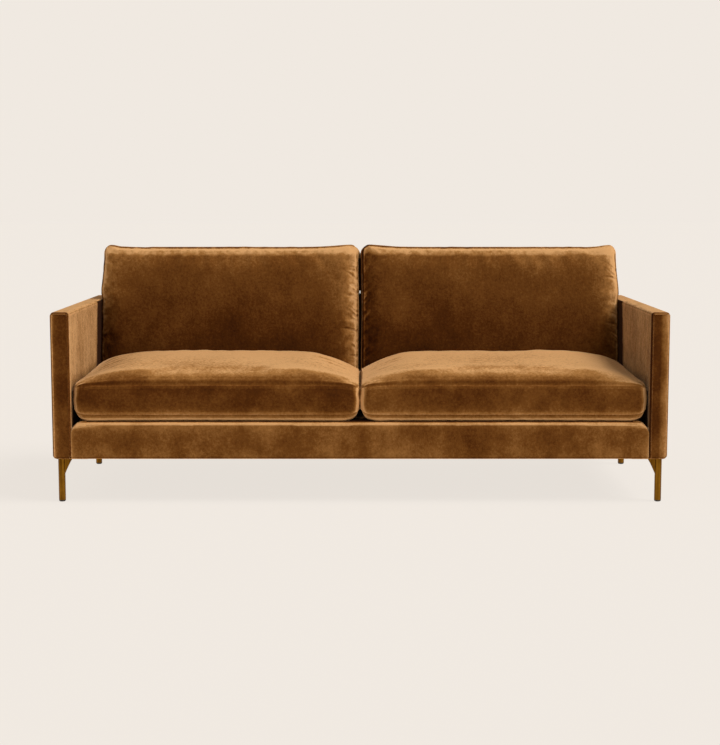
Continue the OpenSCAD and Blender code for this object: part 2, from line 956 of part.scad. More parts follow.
seat_cushion(RIGHT);  // seat_cushion_right
seat_core(LEFT);  // seat_core_left
seat_core(RIGHT);  // seat_core_right
back_cushion(LEFT);  // back_cushion_left
back_cushion(RIGHT);  // back_cushion_right
back_core(LEFT);  // back_core_left
back_core(RIGHT);  // back_core_right
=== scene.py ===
import json
import math

import bpy
import numpy as np
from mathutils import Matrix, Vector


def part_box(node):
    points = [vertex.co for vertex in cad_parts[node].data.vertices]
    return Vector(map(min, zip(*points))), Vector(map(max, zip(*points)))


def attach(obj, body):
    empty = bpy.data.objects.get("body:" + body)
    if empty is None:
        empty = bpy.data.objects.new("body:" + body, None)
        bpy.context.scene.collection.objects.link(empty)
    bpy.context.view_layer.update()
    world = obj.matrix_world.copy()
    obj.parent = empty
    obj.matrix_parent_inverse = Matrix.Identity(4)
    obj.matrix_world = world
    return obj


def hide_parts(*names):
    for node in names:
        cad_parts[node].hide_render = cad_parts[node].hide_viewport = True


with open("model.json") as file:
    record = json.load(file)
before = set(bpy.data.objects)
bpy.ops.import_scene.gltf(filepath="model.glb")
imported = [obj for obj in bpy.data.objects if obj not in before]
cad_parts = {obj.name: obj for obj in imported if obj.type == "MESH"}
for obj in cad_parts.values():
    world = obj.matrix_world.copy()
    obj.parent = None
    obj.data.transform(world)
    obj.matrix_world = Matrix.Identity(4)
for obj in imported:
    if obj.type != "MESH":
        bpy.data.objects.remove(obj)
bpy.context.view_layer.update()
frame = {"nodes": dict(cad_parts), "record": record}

MM = 0.001

# Sizes read from the frame, in metres

ARM_LOW, ARM_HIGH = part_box("arm_cover_left")
RAIL_LOW, RAIL_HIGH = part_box("front_rail_cover")
DECK_LOW, DECK_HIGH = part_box("deck_cover")
DUST_LOW, DUST_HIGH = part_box("dust_cover")
ARM_OUT = -ARM_LOW.x
ARM_IN = RAIL_HIGH.x
FRONT_Y = ARM_LOW.y
REAR_Y = ARM_HIGH.y
BASE_Z = ARM_LOW.z
TOP_Z = ARM_HIGH.z
DECK_Z = DECK_HIGH.z
BACK_T = ARM_OUT - ARM_IN


def node_points(name):
    mesh = frame["nodes"][name].data
    co = np.zeros(len(mesh.vertices) * 3)
    mesh.vertices.foreach_get("co", co)
    return co.reshape(-1, 3)


def lean_of(name):
    """How far the rear of a node moves back for each metre of height."""
    co = node_points(name)
    low, high = co[:, 2].min(), co[:, 2].max()
    rear_low = co[co[:, 2] < low + MM][:, 1].max()
    rear_high = co[co[:, 2] > high - MM][:, 1].max()
    return (rear_high - rear_low) / (high - low)


RAKE = lean_of("back_board")


def rear_at(z):
    return REAR_Y - RAKE * (TOP_Z - z)


def put(name, data):
    """A new object in the scene."""
    obj = bpy.data.objects.new(name, data)
    bpy.context.scene.collection.objects.link(obj)
    return obj


# Camera

FOCAL_PX = 1526.8
PHOTO_W_PX, PHOTO_H_PX = 720, 745
PITCH = 0.114
EYE_Z = 1.059
EYE_TO_FRONT = 5.2465
SENSOR = 36.0

camera_data = bpy.data.cameras.new("camera")
camera_data.sensor_width = SENSOR
camera_data.lens = FOCAL_PX * SENSOR / max(PHOTO_W_PX, PHOTO_H_PX)
camera = put("camera", camera_data)
camera.location = (0, FRONT_Y - EYE_TO_FRONT, EYE_Z)
camera.rotation_euler = (math.pi / 2 - PITCH, 0, 0)
bpy.context.scene.camera = camera
bpy.context.scene.view_settings.view_transform = "Standard"


# Materials

class Nodes:
    """The node tree of a material or world, with short ways to add nodes and links."""

    def __init__(self, name, kind=bpy.data.materials):
        self.owner = kind.new(name)
        self.owner.use_nodes = True
        self.tree = self.owner.node_tree
        self.shader = self.tree.nodes.get("Principled BSDF")

    def add(self, kind, **values):
        node = self.tree.nodes.new(kind)
        for key, value in values.items():
            if key in node.inputs:
                node.inputs[key].default_value = value
            else:
                setattr(node, key, value)
        return node

    def link(self, a, b):
        self.tree.links.new(a, b)

    def place(self, stretch=(1, 1, 1)):
        """Coordinates in metres on the piece itself, so that marks move with it."""
        coords = self.add("ShaderNodeTexCoord")
        mapping = self.add("ShaderNodeMapping")
        mapping.inputs["Scale"].default_value = stretch
        self.link(coords.outputs["Object"], mapping.inputs["Vector"])
        return mapping.outputs["Vector"]

    def noise(self, where, scale, detail=2.0, roughness=0.5, distortion=0.0):
        node = self.add("ShaderNodeTexNoise", Scale=scale, Detail=detail, Roughness=roughness,
                        Distortion=distortion)
        self.link(where, node.inputs["Vector"])
        return node.outputs["Fac"]

    def ramp(self, factor, stops):
        node = self.add("ShaderNodeValToRGB")
        elements = node.color_ramp.elements
        for index, (at, colour) in enumerate(stops):
            element = elements[index] if index < 2 else elements.new(at)
            element.position = at
            element.color = (*colour, 1)
        self.link(factor, node.inputs["Fac"])
        return node.outputs["Color"]

    def mix(self, factor, dark, light):
        node = self.add("ShaderNodeMix", data_type="RGBA")
        self.link(factor, node.inputs[0])
        for index, colour in ((6, dark), (7, light)):
            node.inputs[index].default_value = (*colour, 1)
        return node.outputs[2]

    def maths(self, operation, a, b):
        node = self.add("ShaderNodeMath", operation=operation)
        for value, socket in ((a, node.inputs[0]), (b, node.inputs[1])):
            if hasattr(value, "is_output"):
                self.link(value, socket)
            else:
                socket.default_value = value
        return node.outputs[0]

    def plus(self, a, b):
        return self.maths("ADD", a, b)

    def times(self, a, b):
        return self.maths("MULTIPLY", a, b)

    def bump(self, height, distance, strength=1.0, before=None):
        node = self.add("ShaderNodeBump", Strength=strength, Distance=distance)
        self.link(height, node.inputs["Height"])
        if before is not None:
            self.link(before, node.inputs["Normal"])
        return node.outputs["Normal"]

    def seen(self):
        """1 for rays from the camera and for those that metal reflects."""
        rays = self.add("ShaderNodeLightPath").outputs
        return self.maths("MAXIMUM", rays["Is Camera Ray"], rays["Is Glossy Ray"])

    def spread(self, value, low, high):
        """A value from 0 to 1 spread from low to high."""
        node = self.add("ShaderNodeMapRange", **{"To Min": low, "To Max": high})
        self.link(value, node.inputs["Value"])
        return node.outputs["Result"]

    def colour(self, socket):
        self.link(socket, self.shader.inputs["Base Color"])

    def normal(self, socket):
        self.link(socket, self.shader.inputs["Normal"])

    def set(self, **values):
        for key, value in values.items():
            self.shader.inputs[key.replace("_", " ")].default_value = value


# Velvet's colours, from the darkest, which stands for painted shade, to the palest, which stands
# for painted sheen and painted highlights, and their places

PILE = ((0.0, (0.036, 0.0082, 0.0006)), (1.0, (0.66, 0.355, 0.142)),
        (0.22, (0.088, 0.0248, 0.0022)), (0.42, (0.167, 0.0595, 0.0095)),
        (0.70, (0.352, 0.158, 0.042)))
PILE_TINT = (1.0, 0.66, 0.36, 1)
BROAD_SHARE = 0.46
CRUSHED_SHARE = 0.27
MARKS_AND_PAINTED_LIGHT_SHARE = 0.30
SIDE_POWER = 1.8
FUZZ_FACING = 0.54
FUZZ_SIDE = 0.8


def velvet(name, tone=1.0, lift=0.0, sheen=0.55, painted_sheen_gain=1.04):
    """Short copper-brown pile with brushed patches and a fine fuzz: dark where it is seen straight
    on, and pale where it is seen from the side, a painted sheen. An attribute of the mesh adds
    painted highlights, painted shade and random marks."""
    m = Nodes(name)
    where = m.place()
    broad = m.noise(where, 5.0, 2.0, 0.5)
    crushed = m.noise(m.place((1.0, 1.0, 0.7)), 24.0, 5.0, 0.68, 0.25)
    fuzz = m.noise(where, 110.0, 4.0, 0.8)
    fibres = m.noise(where, 700.0, 2.0, 0.7)
    strands = m.noise(m.place((1.0, 1.0, 0.2)), 90.0, 4.0, 0.65)
    # Painted highlights and painted shade, with random marks, from an attribute of the mesh
    marks_and_painted_light = m.add("ShaderNodeAttribute", attribute_name="marks_and_painted_light").outputs["Fac"]
    # Painted sheen: the colour grows paler where the surface is seen from the side
    side = m.add("ShaderNodeLayerWeight", Blend=0.5).outputs["Facing"]
    side = m.maths("POWER", side, SIDE_POWER)
    marks = m.plus(m.times(broad, BROAD_SHARE), m.times(crushed, CRUSHED_SHARE))
    combed = m.times(m.maths("SUBTRACT", strands, 0.5), side)
    fine = m.plus(m.maths("SUBTRACT", fuzz, 0.5), combed)
    fine = m.times(fine, m.plus(m.times(side, FUZZ_SIDE), FUZZ_FACING))
    level = m.plus(m.plus(marks, fine), lift - 0.02)
    level = m.plus(level, m.times(marks_and_painted_light, MARKS_AND_PAINTED_LIGHT_SHARE))
    level = m.plus(level, m.times(side, painted_sheen_gain))
    m.colour(m.ramp(level, [(at, tuple(c * tone for c in colour)) for at, colour in PILE]))
    lay = m.bump(m.plus(broad, crushed), 0.006, 0.5)
    m.normal(m.bump(m.plus(m.times(fibres, 0.35), fuzz), 0.0013, 0.6, lay))
    m.set(Roughness=0.95, Sheen_Weight=sheen, Sheen_Roughness=0.28, Sheen_Tint=PILE_TINT,
          Specular_IOR_Level=0.08)
    return m.owner


def timber():
    m = Nodes("timber")
    where = m.place((1.0, 9.0, 9.0))
    rings = m.noise(where, 9.0, 6.0, 0.6, 1.2)
    pores = m.noise(m.place((6.0, 90.0, 90.0)), 8.0, 3.0, 0.6)
    grain = m.plus(m.times(rings, 0.75), m.times(pores, 0.25))
    m.colour(m.ramp(grain, ((0.3, (0.30, 0.17, 0.075)), (0.7, (0.62, 0.43, 0.24)))))
    m.normal(m.bump(pores, 0.0006, 0.5))
    m.set(Roughness=0.7)
    return m.owner


def hardboard():
    m = Nodes("hardboard")
    where = m.place()
    flecks = m.noise(where, 240.0, 4.0, 0.7)
    m.colour(m.ramp(flecks, ((0.3, (0.16, 0.09, 0.045)), (0.7, (0.3, 0.19, 0.1)))))
    m.normal(m.bump(flecks, 0.0004, 0.5))
    m.set(Roughness=0.85)
    return m.owner


def cloth(name, dark, light, pitch, roughness=0.9):
    """A plain weave: two crossing sets of yarns, with a slub in their colour."""
    m = Nodes(name)
    where = m.place()
    waves = []
    for direction in ("X", "Z"):
        wave = m.add("ShaderNodeTexWave", wave_type="BANDS", bands_direction=direction,
                     Scale=1 / (pitch * 20), Distortion=0.6)
        m.link(where, wave.inputs["Vector"])
        waves.append(wave.outputs["Fac"])
    weave = m.maths("MAXIMUM", waves[0], waves[1])
    slub = m.noise(where, 60.0, 3.0, 0.6)
    m.colour(m.mix(m.times(weave, slub), dark, light))
    m.normal(m.bump(weave, 0.0005, 0.6))
    m.set(Roughness=roughness, Sheen_Weight=0.2)
    return m.owner


def metal(name, dark, light, roughness, streak=0.0):
    m = Nodes(name)
    cloud = m.noise(m.place(), 35.0, 4.0, 0.6)
    lines_up = m.noise(m.place((1.0, 1.0, 0.03)), 150.0, 3.0, 0.6)
    lines_up = m.times(m.maths("SUBTRACT", lines_up, 0.5), streak)
    cloud = m.plus(cloud, lines_up)
    brushed = m.noise(m.place((260.0, 260.0, 4.0)), 4.0, 2.0, 0.5)
    m.colour(m.mix(cloud, dark, light))
    m.normal(m.bump(brushed, 0.0002, 0.25))
    m.link(m.spread(cloud, *roughness), m.shader.inputs["Roughness"])
    m.set(Metallic=1.0)
    return m.owner


def plastic(name, colour):
    m = Nodes(name)
    speck = m.noise(m.place(), 500.0, 3.0, 0.6)
    m.colour(m.mix(speck, tuple(0.7 * c for c in colour), colour))
    m.normal(m.bump(speck, 0.0003, 0.4))
    m.set(Roughness=0.55)
    return m.owner


VELVET = velvet("velvet")
# A lighter copy of the velvet for the welts: a painted highlight
THREAD = velvet("velvet_welt", 1.0, 0.16)
# A darker copy of the velvet with almost no sheen: painted shade for gaps and hidden faces
SHADE_VELVET = velvet("velvet_painted_shade", 0.62, -0.44, 0.03, 0.10)
DUST = cloth("dust_cloth", (0.008, 0.008, 0.008), (0.03, 0.03, 0.03), 0.0012)


# Finishes of the CAD nodes, by the slots that the record gives them

FINISHES = {
    "timber": timber(),
    "board": hardboard(),
    "webbing": cloth("webbing", (0.2, 0.12, 0.05), (0.5, 0.36, 0.19), 0.002),
    "brass": metal("aged_brass", (0.085, 0.031, 0.003), (0.29, 0.13, 0.011), (0.26, 0.44), 3.0),
    "spring_steel": metal("spring_steel", (0.22, 0.22, 0.23), (0.42, 0.43, 0.45), (0.3, 0.5)),
    "fastener": metal("zinc", (0.42, 0.42, 0.44), (0.62, 0.62, 0.64), (0.25, 0.4)),
    "glide": plastic("dark_glide", (0.035, 0.028, 0.02)),
    "tie_cord": cloth("tie_cord", (0.03, 0.025, 0.02), (0.1, 0.09, 0.08), 0.001),
}

for row in frame["record"]["subparts"]:
    if row["material_slot"] in FINISHES:
        mesh = frame["nodes"][row["node"]].data
        mesh.materials.clear()
        mesh.materials.append(FINISHES[row["material_slot"]])


# Meshes

def piece(name, points, faces, material, body, marks_and_painted_light=None, painted_shade=None):
    """A mesh with its material and, if given, its painted light and shade, which moves with a body.
    Faces whose points are all in the given mask get the darker velvet, as painted shade."""
    mesh = bpy.data.meshes.new(name)
    mesh.from_pydata(points.tolist(), [], faces if isinstance(faces, list) else faces.tolist())
    mesh.update()
    if marks_and_painted_light is not None:
        mesh.attributes.new("marks_and_painted_light", "FLOAT", "POINT").data.foreach_set("value", marks_and_painted_light)
    mesh.polygons.foreach_set("use_smooth", [True] * len(mesh.polygons))
    mesh.materials.append(material)
    if painted_shade is not None:
        mesh.materials.append(SHADE_VELVET)
        mesh.polygons.foreach_set("material_index", painted_shade[faces].all(1).astype(int))
    obj = put(name, mesh)
    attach(obj, body)
    return obj


def bell(value, width):
    return np.exp(-(value / width) ** 2)


def grow(value, start, length):
    """0 up to start, then evenly up to 1 over a length."""
    return np.clip((value - start) / length, 0, 1)


def stripes(distance, rows):
    """A sum of soft stripes, each with its strength, its distance from an edge and its width."""
    return sum(strength * bell(distance - place, width) for strength, place, width in rows)


def box_grid(us, vs, ws):
    """Closed box of quads that face out: its points' u, v, w, its faces, and each point's place
    in the grid."""
    counts = (len(us), len(vs), len(ws))
    number = np.arange(np.prod(counts)).reshape(counts)
    quads = []
    for axis in range(3):
        for last in (False, True):
            side = np.take(number, -1 if last else 0, axis)
            corners = [side[:-1, :-1], side[1:, :-1], side[1:, 1:], side[:-1, 1:]]
            quad = np.stack(corners, -1).reshape(-1, 4)
            quads.append(quad[:, ::-1] if last == (axis == 1) else quad)
    faces = np.concatenate(quads)
    keys, inverse = np.unique(faces.ravel(), return_inverse=True)
    place = np.stack(np.unravel_index(keys, counts), 1)
    params = np.stack([np.asarray(a)[i] for a, i in zip((us, vs, ws), place.T)], 1)
    return params, inverse.reshape(faces.shape), place


def lines(length, step, edge=()):
    """Grid lines from -1 to 1 over a length: close to the ends at the given distances from
    them, and evenly spaced between."""
    half = length / 2
    inner = half - (edge[-1] if edge else 0)
    middle = np.linspace(-inner, inner, max(2, int(round(2 * inner / step))) + 1)
    ends = [half - d for d in edge[:-1]]
    return np.array(sorted([-e for e in ends] + list(middle) + ends)) / half


def rounded(a, b, half_w, half_h, radius):
    """Where a square's point a, b lies on a rectangle with round corners. radius is one value,
    or one for each point."""
    m = np.maximum(np.abs(a), np.abs(b))
    safe = np.where(m > 0, m, 1)
    r = np.maximum(radius, 1e-6) * np.ones_like(a)
    upright = np.abs(a) >= np.abs(b)
    along, across = np.where(upright, b, a) / safe, np.where(upright, a, b) / safe
    flat = np.where(upright, half_h, half_w) - r
    t = np.abs(along) * (flat + math.pi * r / 4)
    angle = np.clip((t - flat) / r, 0, math.pi / 4)
    run = np.where(t < flat, t, flat + r * np.sin(angle)) * np.sign(along)
    out = (np.where(upright, half_w, half_h) - r + r * np.cos(angle)) * np.sign(across)
    x, y = np.where(upright, out, run), np.where(upright, run, out)
    w = m ** 4
    return (1 - w) * a * half_w + w * m * x, (1 - w) * b * half_h + w * m * y, m


def waves(points, size, seed, count=14):
    """Smooth noise from -1 to 1 or so, with features about size across."""
    rng = np.random.default_rng(seed)
    total = np.zeros(len(points))
    for _ in range(count):
        direction = rng.normal(size=3)
        direction /= np.linalg.norm(direction)
        pitch = size * rng.uniform(0.7, 1.6)
        total += np.sin(2 * math.pi * points @ direction / pitch + rng.uniform(0, 2 * math.pi))
    return total / math.sqrt(count)


def normals(points, faces):
    """Unit normal at each point, from the faces round it."""
    p = points[faces]
    face = np.cross(p[:, 2] - p[:, 0], p[:, 3] - p[:, 1])
    out = np.zeros_like(points)
    for corner in range(4):
        np.add.at(out, faces[:, corner], face)
    return out / np.maximum(np.linalg.norm(out, axis=1), 1e-12)[:, None]


def smoothed(values, faces, times):
    """Values averaged over their neighbours."""
    edges = np.concatenate([faces[:, [i, (i + 1) % 4]] for i in range(4)])
    start, end = np.concatenate([edges, edges[:, ::-1]]).T
    weight = np.bincount(start)
    for _ in range(times):
        total = np.zeros_like(values)
        np.add.at(total, start, values[end])
        values = 0.5 * values + 0.5 * total / weight[:, None]
    return values


COVER_CLOTH = {"quality": 6, "mass": 0.3, "tension_stiffness": 18, "compression_stiffness": 12,
               "shear_stiffness": 6, "bending_stiffness": 0.35}


def filled(points, faces, pinned, pressure, growth, frames=16):
    """Cloth simulation of a closed cover that is held at its seams, a little larger than the
    space it has, and pressed out from inside. Returns how far each point moved."""
    mesh = bpy.data.meshes.new("cover_sim")
    mesh.from_pydata(points.tolist(), [], faces.tolist())
    obj = put("cover_sim", mesh)
    group = obj.vertex_groups.new(name="seams")
    group.add([int(i) for i in np.flatnonzero(pinned)], 1.0, "REPLACE")
    modifier = obj.modifiers.new("Cloth", "CLOTH")
    settings = modifier.settings
    for key, value in COVER_CLOTH.items():
        setattr(settings, key, value)
    settings.vertex_group_mass = "seams"
    settings.shrink_min = -growth
    settings.use_pressure = True
    settings.uniform_pressure_force = pressure
    settings.effector_weights.gravity = 0
    modifier.point_cache.frame_start = 1
    modifier.point_cache.frame_end = frames
    scene = bpy.context.scene
    for number in range(1, frames + 1):
        scene.frame_set(number)
    shaped = obj.evaluated_get(bpy.context.evaluated_depsgraph_get()).to_mesh()
    co = np.zeros(len(points) * 3)
    shaped.vertices.foreach_get("co", co)
    scene.frame_set(1)
    bpy.data.objects.remove(obj)
    bpy.data.meshes.remove(mesh)
    return co.reshape(-1, 3) - points


def between(grid, axes, params):
    """Values of a grid of points at other u, v, w."""
    spots = []
    for axis, values in enumerate(axes):
        i = np.clip(np.searchsorted(values, params[:, axis], "right") - 1, 0, len(values) - 2)
        f = np.clip((params[:, axis] - values[i]) / (values[i + 1] - values[i]), 0, 1)
        spots.append((i, f))
    total = np.zeros((len(params), grid.shape[-1]))
    for corner in np.ndindex(2, 2, 2):
        weight = np.ones(len(params))
        index = []
        for (i, f), step in zip(spots, corner):
            weight = weight * (f if step else 1 - f)
            index.append(i + step)
        total += weight[:, None] * grid[tuple(index)]
    return total


def creases(size, shape, pressure, growth, cap, step=11 * MM, keep_low=0.3):
    """What filling does to a cushion: a function from u, v, w to movement."""
    axes = [lines(length, step) for length in size]
    params, faces, index = box_grid(*axes)
    moved = filled(shape(params), faces, at_seams(params), pressure, growth)
    length = np.linalg.norm(moved, axis=1)
    moved *= (cap * np.tanh(length / cap) / np.maximum(length, 1e-9))[:, None]
    moved = smoothed(moved - (1 - keep_low) * smoothed(moved, faces, 40), faces, 1)
    grid = np.zeros([len(a) for a in axes] + [3])
    grid[index[:, 0], index[:, 1], index[:, 2]] = moved
    return lambda p: between(grid, axes, p)


def tube(name, path, radius, material, body, marks_and_painted_light, sides=8):
    """A welt along points, as a tube with closed ends, with the painted light and shade of each
    point.
    """
    path = np.asarray(path)
    ahead = np.roll(path, -1, 0) - np.roll(path, 1, 0)
    ahead[0] = path[1] - path[0]
    ahead[-1] = path[-1] - path[-2]
    ahead /= np.linalg.norm(ahead, axis=1)[:, None]
    up = np.array([0.31, 0.17, 0.93])
    first = np.cross(ahead, up)
    first /= np.linalg.norm(first, axis=1)[:, None]
    second = np.cross(ahead, first)
    s = np.arange(sides)
    t = (s + 1) % sides
    angles = s[:, None] * 2 * math.pi / sides
    around = np.cos(angles) * first[:, None] + np.sin(angles) * second[:, None]
    points = (path[:, None] + radius * around).reshape(-1, 3)
    ring = np.arange(len(path) - 1)[:, None] * sides
    quads = np.stack([ring + s, ring + t, ring + sides + t, ring + sides + s], -1)
    last = (len(path) - 1) * sides
    faces = quads.reshape(-1, 4).tolist() + [s[::-1].tolist(), (last + s).tolist()]
    return piece(name, points, faces, material, body, marks_and_painted_light=np.repeat(marks_and_painted_light, sides))


# Seat cushions

SEAM_EDGE = [d * MM for d in (0, 1.2, 2.4, 4, 6, 9, 13, 18, 24)]
SEAT_BELLY = 21 * MM
SEAT_BAND = 104 * MM
SEAT_CROWN = 71 * MM
SEAT_R = 26 * MM
SEAT_DRAW = 4 * MM
SEAT_SIDE_GAP = 1 * MM
SEAT_FOOT_R = 42 * MM
BELLY_R = 10 * MM
SEAT_REAR_R = 90 * MM
SEAT_EDGE_R = 60 * MM
SEAT_SIDE_SWELL = 3 * MM
SEAT_WAVE = 1.6 * MM
CORNER_REACH = 46 * MM
LOW_SEAM_LIFT = 19 * MM
LOW_CORNER_REACH = 14 * MM
LOW_CORNER_DEPTH = 70 * MM
HIGH_SEAM_DIP = 9 * MM
INNER_SEAM_SAG = 12 * MM
SEAT_STEEP = 190 * MM
SEAT_SLOW = 480 * MM
STEEP_SHARE = 0.68
OUTER_POWER = 2.72
SEAT_SEED = {"left": 11, "right": 23}


# The crown of the top from the sides and from the front: how far it rises, the share of its
# height that the lip at the seam has, and the radius of that lip

SIDE_CROWN = (225 * MM, 0.14, 20 * MM)
FRONT_CROWN = (430 * MM, 0.58, 56 * MM)


# Painted highlights and painted shade on the seat, as stripes: on the top from the front seam, and
# from the seams on the belly, on the band, and on both sides of the upper seam

TOP_STRIPES = ((0.75, 25 * MM, 20 * MM), (0.22, 47 * MM, 12 * MM), (0.6, 72 * MM, 20 * MM),
               (0.3, 5 * MM, 7 * MM))
BELLY_STRIPES = ((0.8, 3 * MM, 3 * MM), )
BAND_STRIPES = ((-0.25, 5 * MM, 1.6 * MM), (0.3, 8 * MM, 2 * MM))
UPPER_SEAM_STRIPES = ((0.6, 0, 1.3 * MM), )


# Painted shade over each band, deeper on the left one, and a stripe from the outer end of each top:
# painted shade on the left, a painted highlight on the right

BAND_SHADE = {"left": 0.36, "right": 0.14}
TOP_END = {"left": (-0.75, 110 * MM, 90 * MM), "right": (0.9, 100 * MM, 80 * MM)}


def seam_profile(distance):
    """Depth of the fold at a seam and the soft lip beside it."""
    return -3.2 * MM * bell(distance, 1.7 * MM) + 1.2 * MM * bell(distance - 5.5 * MM, 2.6 * MM)


def seam_painted_light(distance):
    """Painted shade in the fold of a seam, and a painted highlight on the lip beside it."""
    return 1.15 * bell(distance - 6 * MM, 3.4 * MM) - 1.6 * bell(distance, 2.0 * MM)


def quarter(distance, radius):
    """A quarter round: 0 at an edge, 1 from a radius inside it."""
    return np.sqrt(1 - np.clip(1 - distance / radius, 0, 1) ** 2)


def rise(distance, reach):
    return np.sin(math.pi / 2 * np.clip(distance / reach, 0, 1))


def swelling(distance, reach, lip_share, lip_r):
    """A soft crown: a round lip at the seam, then a slow rise to 1."""
    return lip_share * quarter(distance, lip_r) + (1 - lip_share) * rise(distance, reach)


def seat_shape(width, depth, outer_side):
    """A function from u, v, w to the form of a seat cushion without its folds."""
    def shape(p):
        u, v, w = p.T
        x, y, m = rounded(u, v, width / 2, depth / 2, SEAT_R)
        upright = np.abs(u) >= np.abs(v)
        pull = SEAT_DRAW * m ** 6
        x -= np.sign(x) * pull * np.clip(1 - (y / (depth / 2 - SEAT_R)) ** 2, 0, 1) * upright
        y -= np.sign(y) * pull * np.clip(1 - (x / (width / 2 - SEAT_R)) ** 2, 0, 1) * ~upright
        to_side = width / 2 - np.abs(x)
        to_end = depth / 2 - np.abs(y)
        corner = bell(np.hypot(to_side, to_end), CORNER_REACH)
        x -= outer_side * SEAT_SIDE_GAP * (np.sign(x) == outer_side) * m ** 4
        lift = LOW_SEAM_LIFT * np.exp(-to_side / LOW_CORNER_REACH)
        low = SEAT_BELLY + lift * bell(to_end, LOW_CORNER_DEPTH)
        inward = (1 + u * -outer_side) / 2
        sag = grow(v, 0.1, 0.9) ** 1.5 * np.clip(inward * 8 - 7, 0, 1)
        level = SEAT_BELLY + SEAT_BAND
        high = level - HIGH_SEAM_DIP * corner * (1 - sag) - INNER_SEAM_SAG * sag
        from_side = (1 - np.abs(u)) * width / 2
        soft = swelling(from_side, *SIDE_CROWN)
        outer_full = (1 - np.abs(u) ** OUTER_POWER) ** (1 / OUTER_POWER)
        inner_full = (STEEP_SHARE * rise(from_side, SEAT_STEEP) ** 1.1
                      + (1 - STEEP_SHARE) * rise(from_side, SEAT_SLOW))
        full = np.where(np.sign(u) == outer_side, outer_full, inner_full)
        across = soft + grow(v, -0.4, 1.2) * (full - soft)
        along = swelling((v + 1) * depth / 2, *FRONT_CROWN)
        along *= quarter((1 - v) * depth / 2, SEAT_REAR_R)
        belly_along = quarter((1 - np.abs(v)) * depth / 2, BELLY_R)
        belly_across = quarter(from_side, BELLY_R)
        z = low + (w + 1) / 2 * (high - low)
        crown = (level - high) * quarter(from_side, SEAT_EDGE_R) + SEAT_CROWN * across * along
        z = np.where(w >= 1, high + crown, z)
        z = np.where(w <= -1, low * (1 - belly_across * belly_along), z)
        side = (m >= 1) & (np.abs(w) < 1)
        swell = np.where(side, SEAT_SIDE_SWELL * (1 - w ** 2), 0)
        x += np.sign(x) * swell * upright
        y += np.sign(y) * swell * ~upright
        below = SEAT_FOOT_R - np.clip(z, 0, SEAT_FOOT_R)
        roll = SEAT_FOOT_R - np.sqrt(SEAT_FOOT_R ** 2 - below ** 2)
        x *= 1 - roll / (width / 2)
        return np.stack([x, y, z], 1)
    return shape


def at_seams(p):
    """Which points lie on the seams that run round the ends of w."""
    return (np.maximum(np.abs(p[:, 0]), np.abs(p[:, 1])) >= 1) & (np.abs(p[:, 2]) >= 1)


def seam_distance(p, size):
    """Distance in metres from the seams that run round the ends of w."""
    u, v, w = np.abs(p.T)
    inward = np.minimum((1 - u) * size[0] / 2, (1 - v) * size[1] / 2)
    upward = (1 - w) * size[2] / 2
    return np.where(w >= 1, inward, upward)


def corner_distance(p, size):
    """Distance in metres from the corners, as seen along w."""
    return np.hypot((1 - np.abs(p[:, 0])) * size[0] / 2, (1 - np.abs(p[:, 1])) * size[1] / 2)


def inside(p):
    """1 in the middle of a panel, down to 0 at its seams."""
    return 1 - np.maximum(np.abs(p[:, 0]), np.abs(p[:, 1])) ** 6


def fold_lines(flat, folds):
    """Height from -1 to 1 of small folds on a flat panel. A fold has its start, the way it
    runs, its length, its width and its height."""
    total = np.zeros(len(flat))
    for (x, z), angle, length, width, height in folds:
        dx, dz = flat[:, 0] - x, flat[:, 1] - z
        along = dx * math.cos(angle) + dz * math.sin(angle)
        bend = 0.18 * along ** 2 / length
        across = -dx * math.sin(angle) + dz * math.cos(angle) - bend
        t = along / length
        fade = np.clip(1 - t, 0, 1) ** 0.8 / (1 + np.exp(-(along + 1.5 * MM) / (1.5 * MM)))
        total += height * fade * (bell(across, width) - 0.8 * bell(across + 1.9 * width, width))
    return total


def side_folds(seed, width, height, zones):
    """Folds that fan out from the side seams of a panel, at the chosen heights."""
    rng = np.random.default_rng(seed)
    folds = []
    for side, share, spread, count in zones:
        for _ in range(count):
            z = (share - 0.5 + spread * rng.uniform(-1, 1)) * height
            rise = math.radians(rng.uniform(12, 52))
            angle = rise if side < 0 else math.pi - rise
            start = (side * (width / 2 - 9 * MM), z)
            folds.append((start, angle, rng.uniform(24, 74) * MM, rng.uniform(2.4, 4.2) * MM,
                          rng.uniform(0.35, 1.0)))
    return folds


def away(distance):
    """Lets the filling move a point more, the further it is from a seam."""
    return (1 - np.exp(-distance / (26 * MM)))[:, None]


def puckers(points, distance, seed, height, reach, size):
    """Small folds that start at a seam and die away from it."""
    patch = np.clip(0.5 + 0.5 * waves(points, 0.22, seed + 7, 8), 0, 1.4)
    return height * waves(points, size, seed, 18) * patch * np.exp(-distance / reach)


